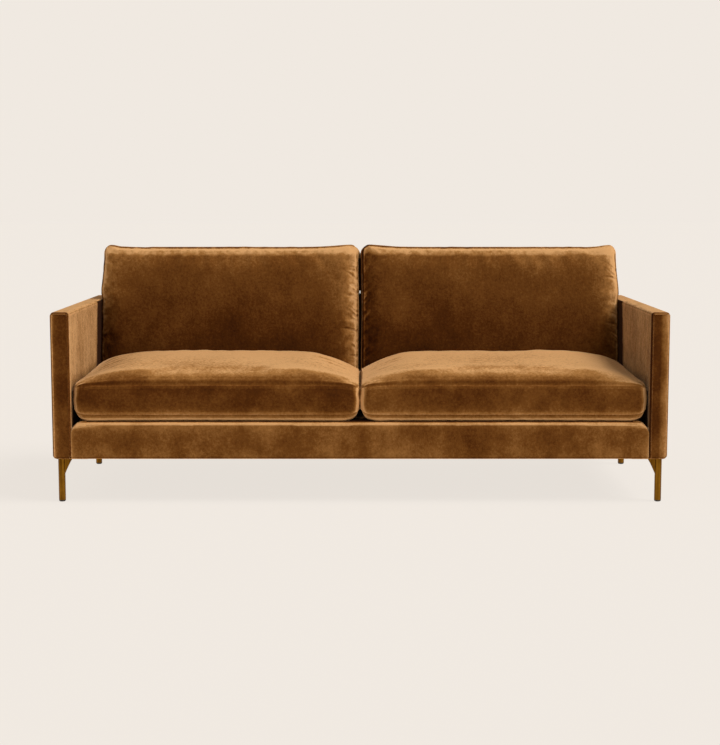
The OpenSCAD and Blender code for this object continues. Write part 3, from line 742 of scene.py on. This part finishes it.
def seat_marks_and_painted_light(side, size, params, points, distance):
    """Painted highlights and painted shade on a seat cushion, with random marks on its band."""
    u, v, w = params.T
    width, depth, _ = size
    seed = SEAT_SEED[side]
    outward = -1 if side == "left" else 1
    top, belly, upper, band = w >= 1, w <= -1, w > 0, np.abs(w) < 1
    from_front = (v + 1) * depth / 2
    at_seam = np.where(top, 0.1, np.where(upper, 0.3, np.where(belly, 0.85, 0.5)))
    marks_and_painted_light = seam_painted_light(distance) * at_seam
    marks_and_painted_light += belly * stripes(distance, BELLY_STRIPES)
    marks_and_painted_light += (band & upper) * stripes(distance, BAND_STRIPES)
    marks_and_painted_light += (top | (band & upper)) * stripes(distance, UPPER_SEAM_STRIPES)
    # Painted shade in a mottled band on the top just behind the front seam, then stripes of painted
    # highlight and the end stripe
    mottle = 0.75 + 0.4 * waves(points, 0.13, seed + 3, 9) + 0.3 * waves(points, 0.05, seed + 4, 9)
    marks_and_painted_light -= 0.3 * top * bell(from_front - 14 * MM, 24 * MM) * mottle
    marks_and_painted_light += top * (stripes(from_front, TOP_STRIPES) - 0.36)
    marks_and_painted_light += top * stripes((1 - outward * u) * width / 2, (TOP_END[side], ))
    long_marks = waves(points * [0.45, 1, 1], 0.1, seed + 9)
    long_marks += 0.7 * waves(points * [0.6, 1, 1], 0.05, seed + 8)
    marks_and_painted_light += 0.16 * (band & (v < 0)) * long_marks
    # Painted highlight on the belly and towards the lower seam, painted shade over the band
    marks_and_painted_light += 1.3 * belly - BAND_SHADE[side] * band
    marks_and_painted_light += 1.0 * band * np.exp(-(points[:, 2] - SEAT_BELLY) / (22 * MM))
    # Painted shade on the ends beside the arms, lighter further back
    sides = band & (np.abs(u) >= 1)
    from_face = points[:, 1] - points[:, 1].min()
    marks_and_painted_light -= 2.0 * sides * grow(from_face, 16 * MM, 16 * MM)
    marks_and_painted_light += 1.5 * sides * grow(from_face, 50 * MM, 90 * MM)
    # Painted highlights on the rounded edges of the band
    from_edge = width / 2 - np.abs(points[:, 0])
    marks_and_painted_light += 2.4 * band * (from_edge < 22 * MM) * bell(from_face - 13 * MM, 6 * MM)
    marks_and_painted_light += 0.4 * band * ~sides * np.exp(-from_edge / (12 * MM))
    return marks_and_painted_light


def seat_cushion(side, body):
    name = "seat_cushion_" + side
    low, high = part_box(name)
    width, depth = high.x - low.x, high.y - low.y
    size = (width, depth, SEAT_BAND)
    middle = np.array([(low.x + high.x) / 2, (low.y + high.y) / 2, low.z])
    seed = SEAT_SEED[side]
    base = seat_shape(width, depth, -1 if side == "left" else 1)

    def shape(p):
        points = base(p)
        top = p[:, 2] >= 1
        points[:, 2] += SEAT_WAVE * waves(points + seed, 0.33, seed) * top * inside(p)
        return points

    step = 8 * MM
    params, faces, _ = box_grid(*[lines(length, step, SEAM_EDGE) for length in size])
    points = shape(params)
    distance = seam_distance(params, size)
    moved = creases(size, shape, 2.2, 0.02, 12 * MM)(params)
    points += moved * away(distance)
    out = normals(points, faces)
    fold = seam_profile(distance) + puckers(points, distance, seed, 0.9 * MM, 22 * MM, 0.035)
    fold *= 1 - bell(corner_distance(params, size), 10 * MM)
    points += out * fold[:, None]
    points[:, 2] = np.maximum(points[:, 2], 0)
    marks_and_painted_light = seat_marks_and_painted_light(side, size, params, points, distance)
    obj = piece(name + "_velvet", points + middle, faces, VELVET, body, marks_and_painted_light=marks_and_painted_light)
    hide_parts(name, "seat_core_" + side)


# Back cushions

BACK_LEAN = 105.0 / 590.0
BACK_CROWN = 42 * MM
BACK_R = 30 * MM
BACK_FOOT_R = 14 * MM
BACK_SHOULDER = 46 * MM
BACK_FOOT_SHOULDER = 30 * MM
SHOULDER_SHARE = 0.72
BACK_SEAM_TUCK = 7 * MM
BACK_REAR_DROP = 15 * MM
BACK_REAR_R = 78 * MM
BACK_BULGE = 3.35 * MM
GAP_WANDER = 1.3 * MM
GAP_WAVE = 70 * MM
GAP_SPOT_Z = 688 * MM
EAR_INNER = 105 * MM
EAR_OUTER = 62 * MM
INNER = {"left": 1, "right": -1}
BACK_SEED = {"left": 37, "right": 53}
BACK_TOP_DRAW = 11 * MM
BACK_SIDE_FULL = 2.2 * MM
BACK_OVER_ARM = 5.5 * MM
BACK_TUCK_REACH = 9 * MM
BACK_TOP_SWELL = -5 * MM
BACK_WAVE = 1.8 * MM
GAP_SPOT_R = 6 * MM
PLEAT_HEIGHT = 2.7 * MM


# Zones of folds: side, share of the height where it lies, how far it spreads, count

BACK_FOLDS = {
    "left": ((-1, 0.66, 0.05, 4), (-1, 0.42, 0.16, 5), (1, 0.80, 0.10, 6), (1, 0.60, 0.10, 8),
             (1, 0.36, 0.14, 5)),
    "right": ((-1, 0.80, 0.08, 4), (-1, 0.60, 0.10, 9), (-1, 0.36, 0.14, 5), (1, 0.78, 0.08, 5),
              (1, 0.52, 0.14, 6)),
}


# Painted light and shade on the left and the right side of each cushion, high and low, and how
# far in

BACK_RIMS = {
    "left": ((1.4, 0.6, 24 * MM), (2.2, 2.6, 36 * MM)),
    "right": ((-0.6, -0.2, 42 * MM), (2.3, 0.9, 50 * MM)),
}


def back_shape(side):
    """A function from u, v, w to the form of a back cushion without its folds, and its size."""
    co = node_points("back_cushion_" + side)
    low, high = co.min(0), co.max(0)
    foot = co[co[:, 2] < low[2] + MM]
    top = co[co[:, 2] > high[2] - 2 * MM]
    seam_foot, rear_foot = foot[:, 1].min(), foot[:, 1].max()
    width, height = high[0] - low[0], high[2] - low[2]
    lean_rear = (top[:, 1].max() - rear_foot) / height
    middle_x, middle_z = (low[0] + high[0]) / 2, (low[2] + high[2]) / 2

    def shape(p):
        u, v, w = p.T
        top_side = v > 0
        share = (1 - w) / 2
        radius = np.where(top_side, BACK_R + share * (BACK_REAR_R - BACK_R), BACK_FOOT_R)
        x, z, m = rounded(u, v, width / 2, height / 2, radius)
        upright = np.abs(u) >= np.abs(v)
        inner = np.sign(x) == INNER[side]
        sideways, _ = facing_of(x, z, m, width / 2, height / 2, radius)
        low_run = bell(z + 0.16 * height, 0.3 * height)
        above_arm = z + middle_z - TOP_Z
        over_arm = grow(above_arm, -4 * MM, 24 * MM) * bell(above_arm - 36 * MM, 70 * MM)
        full = BACK_SIDE_FULL * low_run + BACK_OVER_ARM * over_arm
        x += np.sign(x) * full * m ** 6 * sideways * ~inner
        reach = np.where(inner, EAR_INNER, EAR_OUTER)
        from_end = width / 2 - np.abs(x)
        z -= BACK_TOP_DRAW * m ** 4 * (1 - bell(from_end, reach)) * (top_side & ~upright)
        front = seam_foot + BACK_LEAN * (z + height / 2)
        rear = rear_foot + lean_rear * (z + height / 2)
        to_side = (1 - np.abs(u)) * width / 2
        to_end = (1 - np.abs(v)) * height / 2
        turn = np.where(top_side, BACK_SHOULDER, BACK_FOOT_SHOULDER)
        across = swelling(to_side, width / 2, SHOULDER_SHARE, BACK_SHOULDER)
        along = swelling(to_end, height / 2, SHOULDER_SHARE, turn)
        y = front + share * (rear - front)
        y = np.where(w >= 1, front - BACK_CROWN * across * along, y)
        tuck = BACK_SEAM_TUCK * m ** 10 * np.exp(-share * (rear - front) / BACK_TUCK_REACH)
        tuck *= np.where(inner, 1, np.maximum(grow(z, 0.12 * height, 0.3 * height), 0.1))
        x -= np.sign(x) * tuck * sideways
        z -= BACK_REAR_DROP * share * m ** 6 * top_side * (1 - sideways ** 2)
        band = (m >= 1) & (np.abs(w) < 1)
        touching = (band & inner) * sideways
        spot = np.clip(1 - 1.6 * bell(z + middle_z - GAP_SPOT_Z, GAP_SPOT_R), 0, 1)
        x += np.sign(x) * touching * BACK_BULGE * (1 - w ** 4) * spot
        x += touching * GAP_WANDER * np.sin(2 * math.pi * y / GAP_WAVE) * spot
        z += (band & top_side) * (1 - sideways) * BACK_TOP_SWELL * (1 - w ** 2)
        return np.stack([x + middle_x, y, z + middle_z], 1)

    return shape, (width, height, rear_foot - seam_foot)


def back_marks_and_painted_light(side, size, params, points, distance, pleats):
    """Painted highlights and painted shade on a back cushion, with random marks, and where it gets
    the darker velvet as painted shade.
    """
    u, v, w = params.T
    seed = BACK_SEED[side]
    front = w >= 1
    inner = np.sign(u) == INNER[side]
    upright = np.abs(u) >= np.abs(v)
    flank = ~front & (np.abs(u) >= 1)
    from_side = (1 - np.abs(u)) * size[0] / 2
    from_top = (1 - v) * size[1] / 2
    behind = (1 - w) * size[2] / 2
    below = points[:, 2].max() - points[:, 2]
    fall = np.clip(from_top / size[1], 0, 1)
    edge = from_top - 27 * MM - 3 * MM * waves(points, 0.05, seed + 5, 9)
    light = 1 / (1 + np.exp(edge / (2.6 * MM)))
    # Painted shade and highlights at the seams, and painted highlights on the folds
    marks_and_painted_light = 0.6 * seam_painted_light(distance) + 1.1 * pleats
    # Painted highlight in a band along the top, painted shade growing towards the bottom
    marks_and_painted_light += front * (1.6 * light - 1.3 * (1 - light) * (fall - 0.27))
    patchy = np.maximum(0.5 * light, np.exp(-from_side / (40 * MM)))
    marks = waves(points, 0.03, seed + 11) + 0.7 * waves(points, 0.014, seed + 12)
    marks_and_painted_light += 0.5 * front * patchy * marks
    # Painted light and shade on the rims of each side
    for end, (high_rim, low_rim, reach) in zip((-1, 1), BACK_RIMS[side]):
        rim = (np.sign(u) == end) * (high_rim + (low_rim - high_rim) * grow(fall, 0.25, 0.35))
        marks_and_painted_light += rim * front * np.exp(-from_side / reach)
        marks_and_painted_light += 0.8 * rim * flank * bell(behind, 14 * MM)
    # Painted shade in dark lines along the seams
    line = 2.3 * ((v > 0) & (v >= np.abs(u))) + 3.6 * (upright & ~inner)
    line = line + (upright & inner) * (1.2 + 2.6 * np.exp(-from_top / (30 * MM)))
    marks_and_painted_light -= line * bell(distance, 3 * MM) * (w > 0)
    # Painted shade in the gap beside the twin cushion and on the flank under the arm, lighter
    # further back
    by_twin, hidden = flank & inner, flank & ~inner
    marks_and_painted_light -= 1.8 * by_twin * grow(below, 12 * MM, 36 * MM) * grow(behind, 4 * MM, 8 * MM)
    marks_and_painted_light += 2.4 * by_twin * grow(behind, 40 * MM, 60 * MM)
    under_arm = np.clip((TOP_Z - points[:, 2]) / (50 * MM), 0, 1)
    marks_and_painted_light -= 1.2 * hidden * under_arm * grow(behind, 10 * MM, 14 * MM)
    return marks_and_painted_light, by_twin & (behind > 9 * MM) & (below > 50 * MM)


def back_cushion(side, body):
    name = "back_cushion_" + side
    base, size = back_shape(side)
    seed = BACK_SEED[side]

    def shape(p):
        points = base(p)
        points[:, 1] += BACK_WAVE * waves(points, 0.3, seed) * (p[:, 2] >= 1) * inside(p)
        return points

    coarse = 1
    params, faces, _ = box_grid(*[lines(length, step * coarse, SEAM_EDGE)
                                  for length, step in zip(size, (6 * MM, 4.5 * MM, 8 * MM))])
    faces = faces[:, ::-1]
    points = shape(params)
    u, v, w = params.T
    front = w >= 1
    at_end = np.abs(u) >= 1
    inner = np.sign(u) == INNER[side]
    held = (w <= -1) | (v <= -1)
    distance = seam_distance(params, size)
    moved = creases(size, shape, 1.6, 0.03, 14 * MM)(params)
    moved[held | (at_end & ~front)] = 0
    points += moved * away(distance)
    out = normals(points, faces)
    flat = points[:, [0, 2]]
    flat = flat - (flat.min(0) + flat.max(0)) / 2
    pleats = fold_lines(flat, side_folds(seed, size[0], size[1], BACK_FOLDS[side])) * front
    fold = seam_profile(distance) + puckers(points, distance, seed, 0.8 * MM, 30 * MM, 0.05)
    fold += PLEAT_HEIGHT * pleats
    fold = np.where(at_end & ~inner, np.maximum(fold, -1.2 * MM), fold)
    fold = np.where(at_end & inner & ~front, np.minimum(fold, 0), fold)
    fold *= 1 - bell(corner_distance(params, size), 28 * MM)
    fold[held] = 0
    points += out * fold[:, None]
    marks_and_painted_light, painted_shade = back_marks_and_painted_light(side, size, params, points, distance, pleats)
    obj = piece(name + "_velvet", points, faces, VELVET, body, marks_and_painted_light=marks_and_painted_light, painted_shade=painted_shade)
    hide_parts(name, "back_core_" + side)


# Arms, rail and back

ARM_R = 14 * MM
ARM_INNER_R = 11 * MM
ARM_FOOT_R = 13 * MM
ARM_ROLL = 6.5 * MM
ARM_REAR_ROLL = 3 * MM
ARM_SEAM_Z = 7 * MM
WELT_R = 1.8 * MM
BACK_POINTS = node_points("back_cushion_left")
BACK_FOOT_Y = BACK_POINTS[BACK_POINTS[:, 2] < BACK_POINTS[:, 2].min() + MM][:, 1].min()
SEAT_SEAM_Z = DECK_Z + SEAT_BELLY + SEAT_BAND
HEM_Z = 4 * MM
HEM_W = 1.4 * MM
HEM_DEPTH = 0.8 * MM
GROOVE_W = 1.3 * MM
WELT_INSET = 2.7 * MM
SEAT_HIDES = 38 * MM
BACK_HIDES = -102 * MM
EDGE_LINES = [d * MM for d in (0, 0.8, 1.8, 3, 4.5, 6, 8, 10, 13, 18, 26)]


def rolled(distance, radius):
    """How far an edge of this radius has turned away at a distance from it."""
    return radius * (1 - quarter(np.maximum(distance, 0), radius))


def facing_of(x, z, m, half_w, half_h, radius):
    """How far a round-cornered outline faces sideways and how far it faces up or down."""
    safe = np.where(m > 0, m, 1)
    turn_x = np.clip(np.abs(x) / safe - (half_w - radius), 1e-6, None)
    turn_z = np.clip(np.abs(z) / safe - (half_h - radius), 1e-6, None)
    length = np.hypot(turn_x, turn_z)
    return turn_x / length, turn_z / length


# What differs between the arms: the seeds of their form and marks, the painted shade on the front
# low down and how much more high up, how wide the painted highlight on the rim of its outer edge
# is, and the painted light and shade on the inner face, as a level and what fades from the front
# with a reach

ARM_SEEDS = {"left": (71, 61), "right": (83, 63)}
ARM_FACE = {"left": (0.16, 0), "right": (0.3, 0.3)}
ARM_RIM = {"left": 8 * MM, "right": 19 * MM}
ARM_INNER_PAINTED_LIGHT = {"left": (-0.58, ((0.58, 110 * MM), )),
               "right": (-0.62, ((-0.6, 150 * MM), (-0.4, 30 * MM)))}


def arm(side):
    sign = -1 if side == "left" else 1
    form_seed, mark_seed = ARM_SEEDS[side]
    name = "arm_cover_" + side
    half_w = (ARM_OUT - ARM_IN) / 2
    half_h = (TOP_Z - BASE_Z) / 2
    centre_x, centre_z = sign * (ARM_OUT + ARM_IN) / 2, (TOP_Z + BASE_Z) / 2
    step = 9 * MM
    lengths = (2 * half_w, REAR_Y - FRONT_Y, 2 * half_h)
    params, faces, _ = box_grid(*[lines(length, step, EDGE_LINES) for length in lengths])
    u, v, w = params.T
    outer = np.sign(u) == sign
    radius = np.where(w > 0, np.where(outer, ARM_R, ARM_INNER_R),
                      np.where(outer, ARM_FOOT_R, 1.5 * MM))
    x, z, m = rounded(u, w, half_w, half_h, radius)
    z += centre_z
    rear = rear_at(z)
    y = FRONT_Y + (v + 1) / 2 * (rear - FRONT_Y)
    from_front = y - FRONT_Y
    upright = np.abs(u) >= np.abs(w)
    tuck = (rolled(from_front, ARM_ROLL) + rolled(rear - y, ARM_REAR_ROLL)) * m ** 8
    sideways, upwards = facing_of(x, z - centre_z, m, half_w, half_h, radius)
    x -= np.sign(x) * tuck * sideways
    z -= tuck * upwards * np.where(w > 0, 1, -0.6 * outer)
    points = np.stack([x + centre_x, y, z], 1)
    out = normals(points, faces)
    from_edge = np.minimum.reduce([from_front, rear - y, TOP_Z - z, z - BASE_Z])
    soft = 0.7 * MM * waves(points, 0.28, form_seed) * grow(from_edge, 0, 40 * MM)
    face = v <= -1
    inset = np.minimum((1 - np.abs(u)) * half_w, (1 - w) * half_h)
    to_welt = np.where(face, inset, from_front)
    welt_groove = bell(to_welt - WELT_INSET, GROOVE_W) * (z > BASE_Z + 3 * MM)
    seam = np.where(face | (np.abs(w) >= 1) | (w < 0), 1, np.abs(TOP_Z - ARM_SEAM_Z - z))
    seam_groove = bell(seam, GROOVE_W)
    hem = bell(z - BASE_Z - HEM_Z, HEM_W)
    groove = np.where(outer, 1, 0.5) * MM * (1.5 * welt_groove + 1.2 * seam_groove)
    points += out * (soft - groove - HEM_DEPTH * hem)[:, None]
    points[:, 2] = np.maximum(points[:, 2], BASE_Z)

    # Seams and edges: painted shade in the grooves and the hem, painted highlights on the lips and
    # the bottom edge

    calm = np.where(outer, 1, 0.4)
    marks_and_painted_light = -calm * (1.3 * welt_groove + 1.2 * seam_groove) - 0.8 * hem
    marks_and_painted_light += 0.5 * bell(seam - 4.5 * MM, 2.4 * MM) + 0.9 * bell(z - BASE_Z, 2.6 * MM)
    marks_and_painted_light += 0.8 * calm * bell(to_welt - 6 * MM, 3 * MM) * (~face | (inset < 3 * MM))
    marks_and_painted_light -= 0.35 * ((m >= 1) & ~face)

    # Front and top: random marks, painted shade on the front and a painted highlight on its outer
    # rim, and random marks on the top, a little darker

    low_shade, high_shade = ARM_FACE[side]
    marks_and_painted_light += 0.2 * face * waves(points, 0.1, mark_seed)
    marks_and_painted_light -= face * (low_shade + high_shade * grow(z, SEAT_SEAM_Z + 30 * MM, 120 * MM))
    marks_and_painted_light += 2.7 * face * outer * np.exp(-(1 - np.abs(u)) * half_w / ARM_RIM[side])
    on_top = ~upright & (w > 0) & ~face
    marks_and_painted_light += on_top * (0.3 * waves(points, 0.03, 65) + 0.25 * waves(points, 0.09, 67) - 0.45)

    # Inner face: painted light and shade, painted shade by the seat, and the darker velvet as
    # painted shade where the cushions hide it, less dark deeper in

    inner = ~outer & (m >= 1) & upright
    level, fading = ARM_INNER_PAINTED_LIGHT[side]
    # Painted light and shade on the inner face
    brushed = level + sum(share * np.exp(-from_front / reach) for share, reach in fading)
    by_seat = np.clip((SEAT_SEAM_Z + 34 * MM - z) / (60 * MM), 0, 1)
    marks_and_painted_light += inner * (brushed - 2.2 * by_seat * grow(from_front, 12 * MM, 26 * MM))
    past_seam = y - (BACK_FOOT_Y + BACK_LEAN * (z - DECK_Z))
    low_down = z < SEAT_SEAM_Z - 16 * MM
    painted_shade = inner & (past_seam > BACK_HIDES)
    painted_shade |= inner & low_down & (v > -1 + 2 * SEAT_HIDES / (REAR_Y - FRONT_Y))
    marks_and_painted_light -= 2.2 * inner * grow(past_seam, -120 * MM, 20 * MM)
    deep = np.maximum(grow(past_seam, -70 * MM, 60 * MM),
                      low_down * grow(from_front, 90 * MM, 80 * MM))
    marks_and_painted_light += 3.2 * painted_shade * deep
    obj = piece(name + "_velvet", points, faces, VELVET, "root", marks_and_painted_light=marks_and_painted_light, painted_shade=painted_shade)
    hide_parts(name, "arm_pad_" + side)
    arm_welt(side, sign, centre_x, centre_z, half_w, half_h)


def arm_welt(side, sign, centre_x, centre_z, half_w, half_h):
    """The piping round the front panel of an arm."""
    def corner(x_sign, r, first, last):
        """Points of the welt round one top corner of the front panel."""
        turn_r = r - ARM_ROLL
        return [(x_sign * (half_w - r) + turn_r * math.cos(a), half_h - r + turn_r * math.sin(a))
                for a in np.linspace(first, last, 10)]

    left_r, right_r = (ARM_R, ARM_INNER_R) if side == "left" else (ARM_INNER_R, ARM_R)
    edge_x = half_w - ARM_ROLL
    foot = -half_h + 3 * MM
    ring = [(-edge_x, z) for z in np.arange(foot, half_h - left_r, 8 * MM)]
    ring += corner(-1, left_r, math.pi, math.pi / 2)
    ring += corner(1, right_r, math.pi / 2, 0)
    ring += [(edge_x, z) for z in np.arange(half_h - right_r, foot, -8 * MM)]
    path = [(centre_x + x, FRONT_Y + 0.5 * MM, centre_z + z) for x, z in ring]
    to_outside = np.array([sign * x for x, _ in ring]) / edge_x
    # Painted highlight on the outer side of the welt, painted shade on its inner side
    marks_and_painted_light = np.where(to_outside > 0.9, 1.1, np.where(to_outside < -0.9, -1.0, 0.0))
    tube("arm_welt_" + side, path, WELT_R, THREAD, "root", marks_and_painted_light)


RAIL_R = 42 * MM
RAIL_ROLL = 15 * MM


def front_rail():
    half_w = ARM_IN - 0.5 * MM
    half_h = (DECK_Z - BASE_Z) / 2
    y0, y1 = RAIL_LOW.y, RAIL_HIGH.y
    step = 9 * MM
    params, faces, _ = box_grid(lines(2 * half_w, step, EDGE_LINES),
                                lines(y1 - y0, step, EDGE_LINES[:7]),
                                lines(2 * half_h, 6 * MM, EDGE_LINES))
    u, v, w = params.T
    radius = np.where(w > 0, RAIL_R, 1.5 * MM)
    x, z, m = rounded(u, w, half_w, half_h, radius)
    sideways, upwards = facing_of(x, z, m, half_w, half_h, radius)
    z += (DECK_Z + BASE_Z) / 2
    y = y0 + (v + 1) / 2 * (y1 - y0)
    from_front = y - y0
    z -= rolled(from_front, RAIL_ROLL) * m ** 8 * upwards * (w > 0)
    x += np.sign(x) * sideways * m ** 8 * 1.5 * MM * bell(from_front, 6 * MM)
    points = np.stack([x, y, z], 1)
    out = normals(points, faces)
    soft = 0.8 * MM * waves(points, 0.3, 97) * grow(np.minimum(DECK_Z - z, z - BASE_Z), 0, 30 * MM)
    hem = bell(z - BASE_Z - HEM_Z, HEM_W)
    points += out * (soft - HEM_DEPTH * hem)[:, None]
    points[:, 2] = np.clip(points[:, 2], BASE_Z, DECK_Z)
    face = v <= -1
    skin = (m >= 1) & ~face
    rim = np.minimum((1 - np.abs(u)) * half_w, (1 - w) * half_h)
    # Painted shade in the hem, painted highlights at the bottom edge, round the face's rim and on
    # the rolled top edge, lighter low down, with random marks
    marks_and_painted_light = -0.9 * hem + 1.0 * bell(z - BASE_Z, 2.8 * MM)
    marks_and_painted_light += face * (0.6 * bell(rim, 4 * MM) + 0.95 * np.exp(-rim / (15 * MM)))
    marks_and_painted_light += skin * (1.8 + 2.4 * sideways * bell(from_front - 4 * MM, 5 * MM))
    marks_and_painted_light += 0.2 + 0.3 * np.clip(1 - (z - BASE_Z) / (60 * MM), 0, 1)
    marks_and_painted_light += 0.16 * waves(points, 0.16, 99) + 0.12 * waves(points, 0.06, 103)
    # Painted shade on the top where the cushion rests on it, with the darker velvet there
    marks_and_painted_light -= 2.8 * upwards ** 4 * ((w > 0) & (m >= 1)) * grow(from_front, 3 * MM, 5 * MM)
    painted_shade = (w >= 1) & (from_front > 8 * MM) & (np.abs(x) < half_w - RAIL_R - 4 * MM)
    obj = piece("front_rail_velvet", points, faces, VELVET, "root", marks_and_painted_light=marks_and_painted_light, painted_shade=painted_shade)
    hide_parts("front_rail_cover", "front_rail_pad")


def back_frame():
    half_w = ARM_IN - 0.5 * MM
    half_h = (TOP_Z - BASE_Z) / 2
    step = 10 * MM
    params, faces, _ = box_grid(lines(2 * half_w, step, EDGE_LINES[:4]),
                                lines(BACK_T, step, EDGE_LINES[:7]),
                                lines(2 * half_h, step, EDGE_LINES))
    u, v, w = params.T
    y, z, _ = rounded(v, w, BACK_T / 2, half_h, np.where(w > 0, 10 * MM, 1.5 * MM))
    z += (TOP_Z + BASE_Z) / 2
    y += rear_at(z) - BACK_T / 2
    points = np.stack([u * half_w, y, z], 1)
    out = normals(points, faces)
    flat = grow(np.minimum(TOP_Z - z, z - BASE_Z), 0, 40 * MM) * (1 - u ** 8)
    soft = 0.6 * MM * waves(points, 0.3, 101)
    hem = 0.9 * MM * bell(z - BASE_Z - 3.5 * MM, 2.6 * MM) * (v > 0)
    points += out * (soft * flat + hem)[:, None]
    points[:, 2] = np.clip(points[:, 2], BASE_Z, TOP_Z)
    points[:, 0] = np.clip(points[:, 0], -half_w, half_w)
    obj = piece("back_velvet", points, faces, VELVET, "root")
    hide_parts("back_cover", "back_pad")


def deck():
    y0 = DECK_LOW.y
    y1 = rear_at(DECK_Z) - BACK_T
    half_w = ARM_IN - 3 * MM
    thick = 16 * MM
    step = 14 * MM
    params, faces, _ = box_grid(lines(2 * half_w, step, EDGE_LINES), lines(y1 - y0, step),
                                lines(thick, 6 * MM))
    u, v, w = params.T
    x, y = u * half_w, (y0 + y1) / 2 + v * (y1 - y0) / 2
    points = np.stack([x, y, DECK_Z - thick / 2 + w * thick / 2], 1)
    top = w >= 1
    dip = 0.6 * MM * (1 + waves(points, 0.12, 5)) * top * (1 - np.maximum(u ** 8, v ** 8))
    end_roll = rolled(half_w - np.abs(x), RAIL_R)
    points[:, 2] -= np.clip(dip, 0, None)
    points[:, 2] -= end_roll * top + 0.5 * end_roll * (np.abs(w) < 1)
    points[:, 2] -= 1.5 * MM * top * (y < RAIL_HIGH.y + 2 * MM)
    # Darker overall, with painted shade deeper towards the front and the ends, and the darker
    # velvet on the front strip as painted shade
    marks_and_painted_light = -0.9 - 1.5 * np.clip(1 - (y - y0) / (40 * MM), 0, 1) - 1.0 * (np.abs(u) > 0.97)
    front_strip = y < y0 + 60 * MM
    obj = piece("deck_velvet", points, faces, VELVET, "root", marks_and_painted_light=marks_and_painted_light, painted_shade=front_strip)
    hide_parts("deck_cover", "deck_pad")


# How far the cloth stops short of the CAD cloth's ends, which are cut out for the legs

DUST_INSET = 118 * MM
DUST_HALF_T = 0.4 * MM


def dust_cover():
    """The black cloth under the seat, stretched from rail to rail and sagging a little."""
    half_w = DUST_HIGH.x - DUST_INSET
    long_y = DUST_HIGH.y - DUST_LOW.y
    step = 18 * MM
    params, faces, _ = box_grid(lines(2 * half_w, step), lines(long_y, step), lines(1 * MM, 1 * MM))
    u, v, w = params.T
    y = (DUST_LOW.y + DUST_HIGH.y) / 2 + v * long_y / 2
    points = np.stack([u * half_w, y, BASE_Z - DUST_HALF_T + DUST_HALF_T * w], 1)
    sag = (2.2 + 1.2 * waves(points, 0.2, 17)) * MM * (1 - u ** 4) * (1 - v ** 4)
    points[:, 2] -= np.clip(sag, 0, None)
    obj = piece("dust_cloth_0", points, faces, DUST, "root")
    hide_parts("dust_cover")


for side_name in ("left", "right"):
    seat_cushion(side_name, "seat_" + side_name)
    back_cushion(side_name, "back_" + side_name)
    arm(side_name)
front_rail()
back_frame()
deck()
dust_cover()


# Floor, lights and world

PAPER = (0.871, 0.815, 0.753)
PAPER_GLOW = 0.9
SKY_LIGHT = 0.30
REACH = 60.0
CORNERS = [(-REACH, -REACH, 0), (REACH, -REACH, 0), (REACH, REACH, 0), (-REACH, REACH, 0)]

floor_mesh = bpy.data.meshes.new("floor")
floor_mesh.from_pydata(CORNERS, [], [(0, 1, 2, 3)])
floor = put("floor", floor_mesh)

paper = Nodes("paper")
diffuse = paper.add("ShaderNodeBsdfDiffuse", Color=(*PAPER, 1))
glow = paper.add("ShaderNodeEmission", Color=(*PAPER, 1), Strength=1.0)
blend = paper.add("ShaderNodeMixShader")
paper.link(paper.times(paper.seen(), PAPER_GLOW), blend.inputs[0])
paper.link(diffuse.outputs[0], blend.inputs[1])
paper.link(glow.outputs[0], blend.inputs[2])
paper.link(blend.outputs[0], paper.tree.nodes["Material Output"].inputs["Surface"])
paper.tree.nodes.remove(paper.shader)
floor_mesh.materials.append(paper.owner)


def sun(name, towards, strength, spread, colour=(1, 1, 1)):
    """A soft distant lamp that shines from the given direction."""
    data = bpy.data.lights.new(name, "SUN")
    data.energy = strength
    data.angle = math.radians(spread)
    data.color = colour
    obj = put(name, data)
    x, y, z = towards
    length = math.sqrt(x * x + y * y + z * z)
    obj.rotation_euler = (math.acos(z / length), 0, math.atan2(y, x) + math.pi / 2)


sun("key", (0.62, -0.16, 0.80), 2.9, 34)
sun("fill", (-0.35, -0.6, 0.6), 0.35, 60)

sky = Nodes("world", bpy.data.worlds)
bpy.context.scene.world = sky.owner
background = sky.tree.nodes["Background"].inputs
background["Color"].default_value = (*PAPER, 1)
sky.link(sky.spread(sky.seen(), SKY_LIGHT, 1.0), background["Strength"])
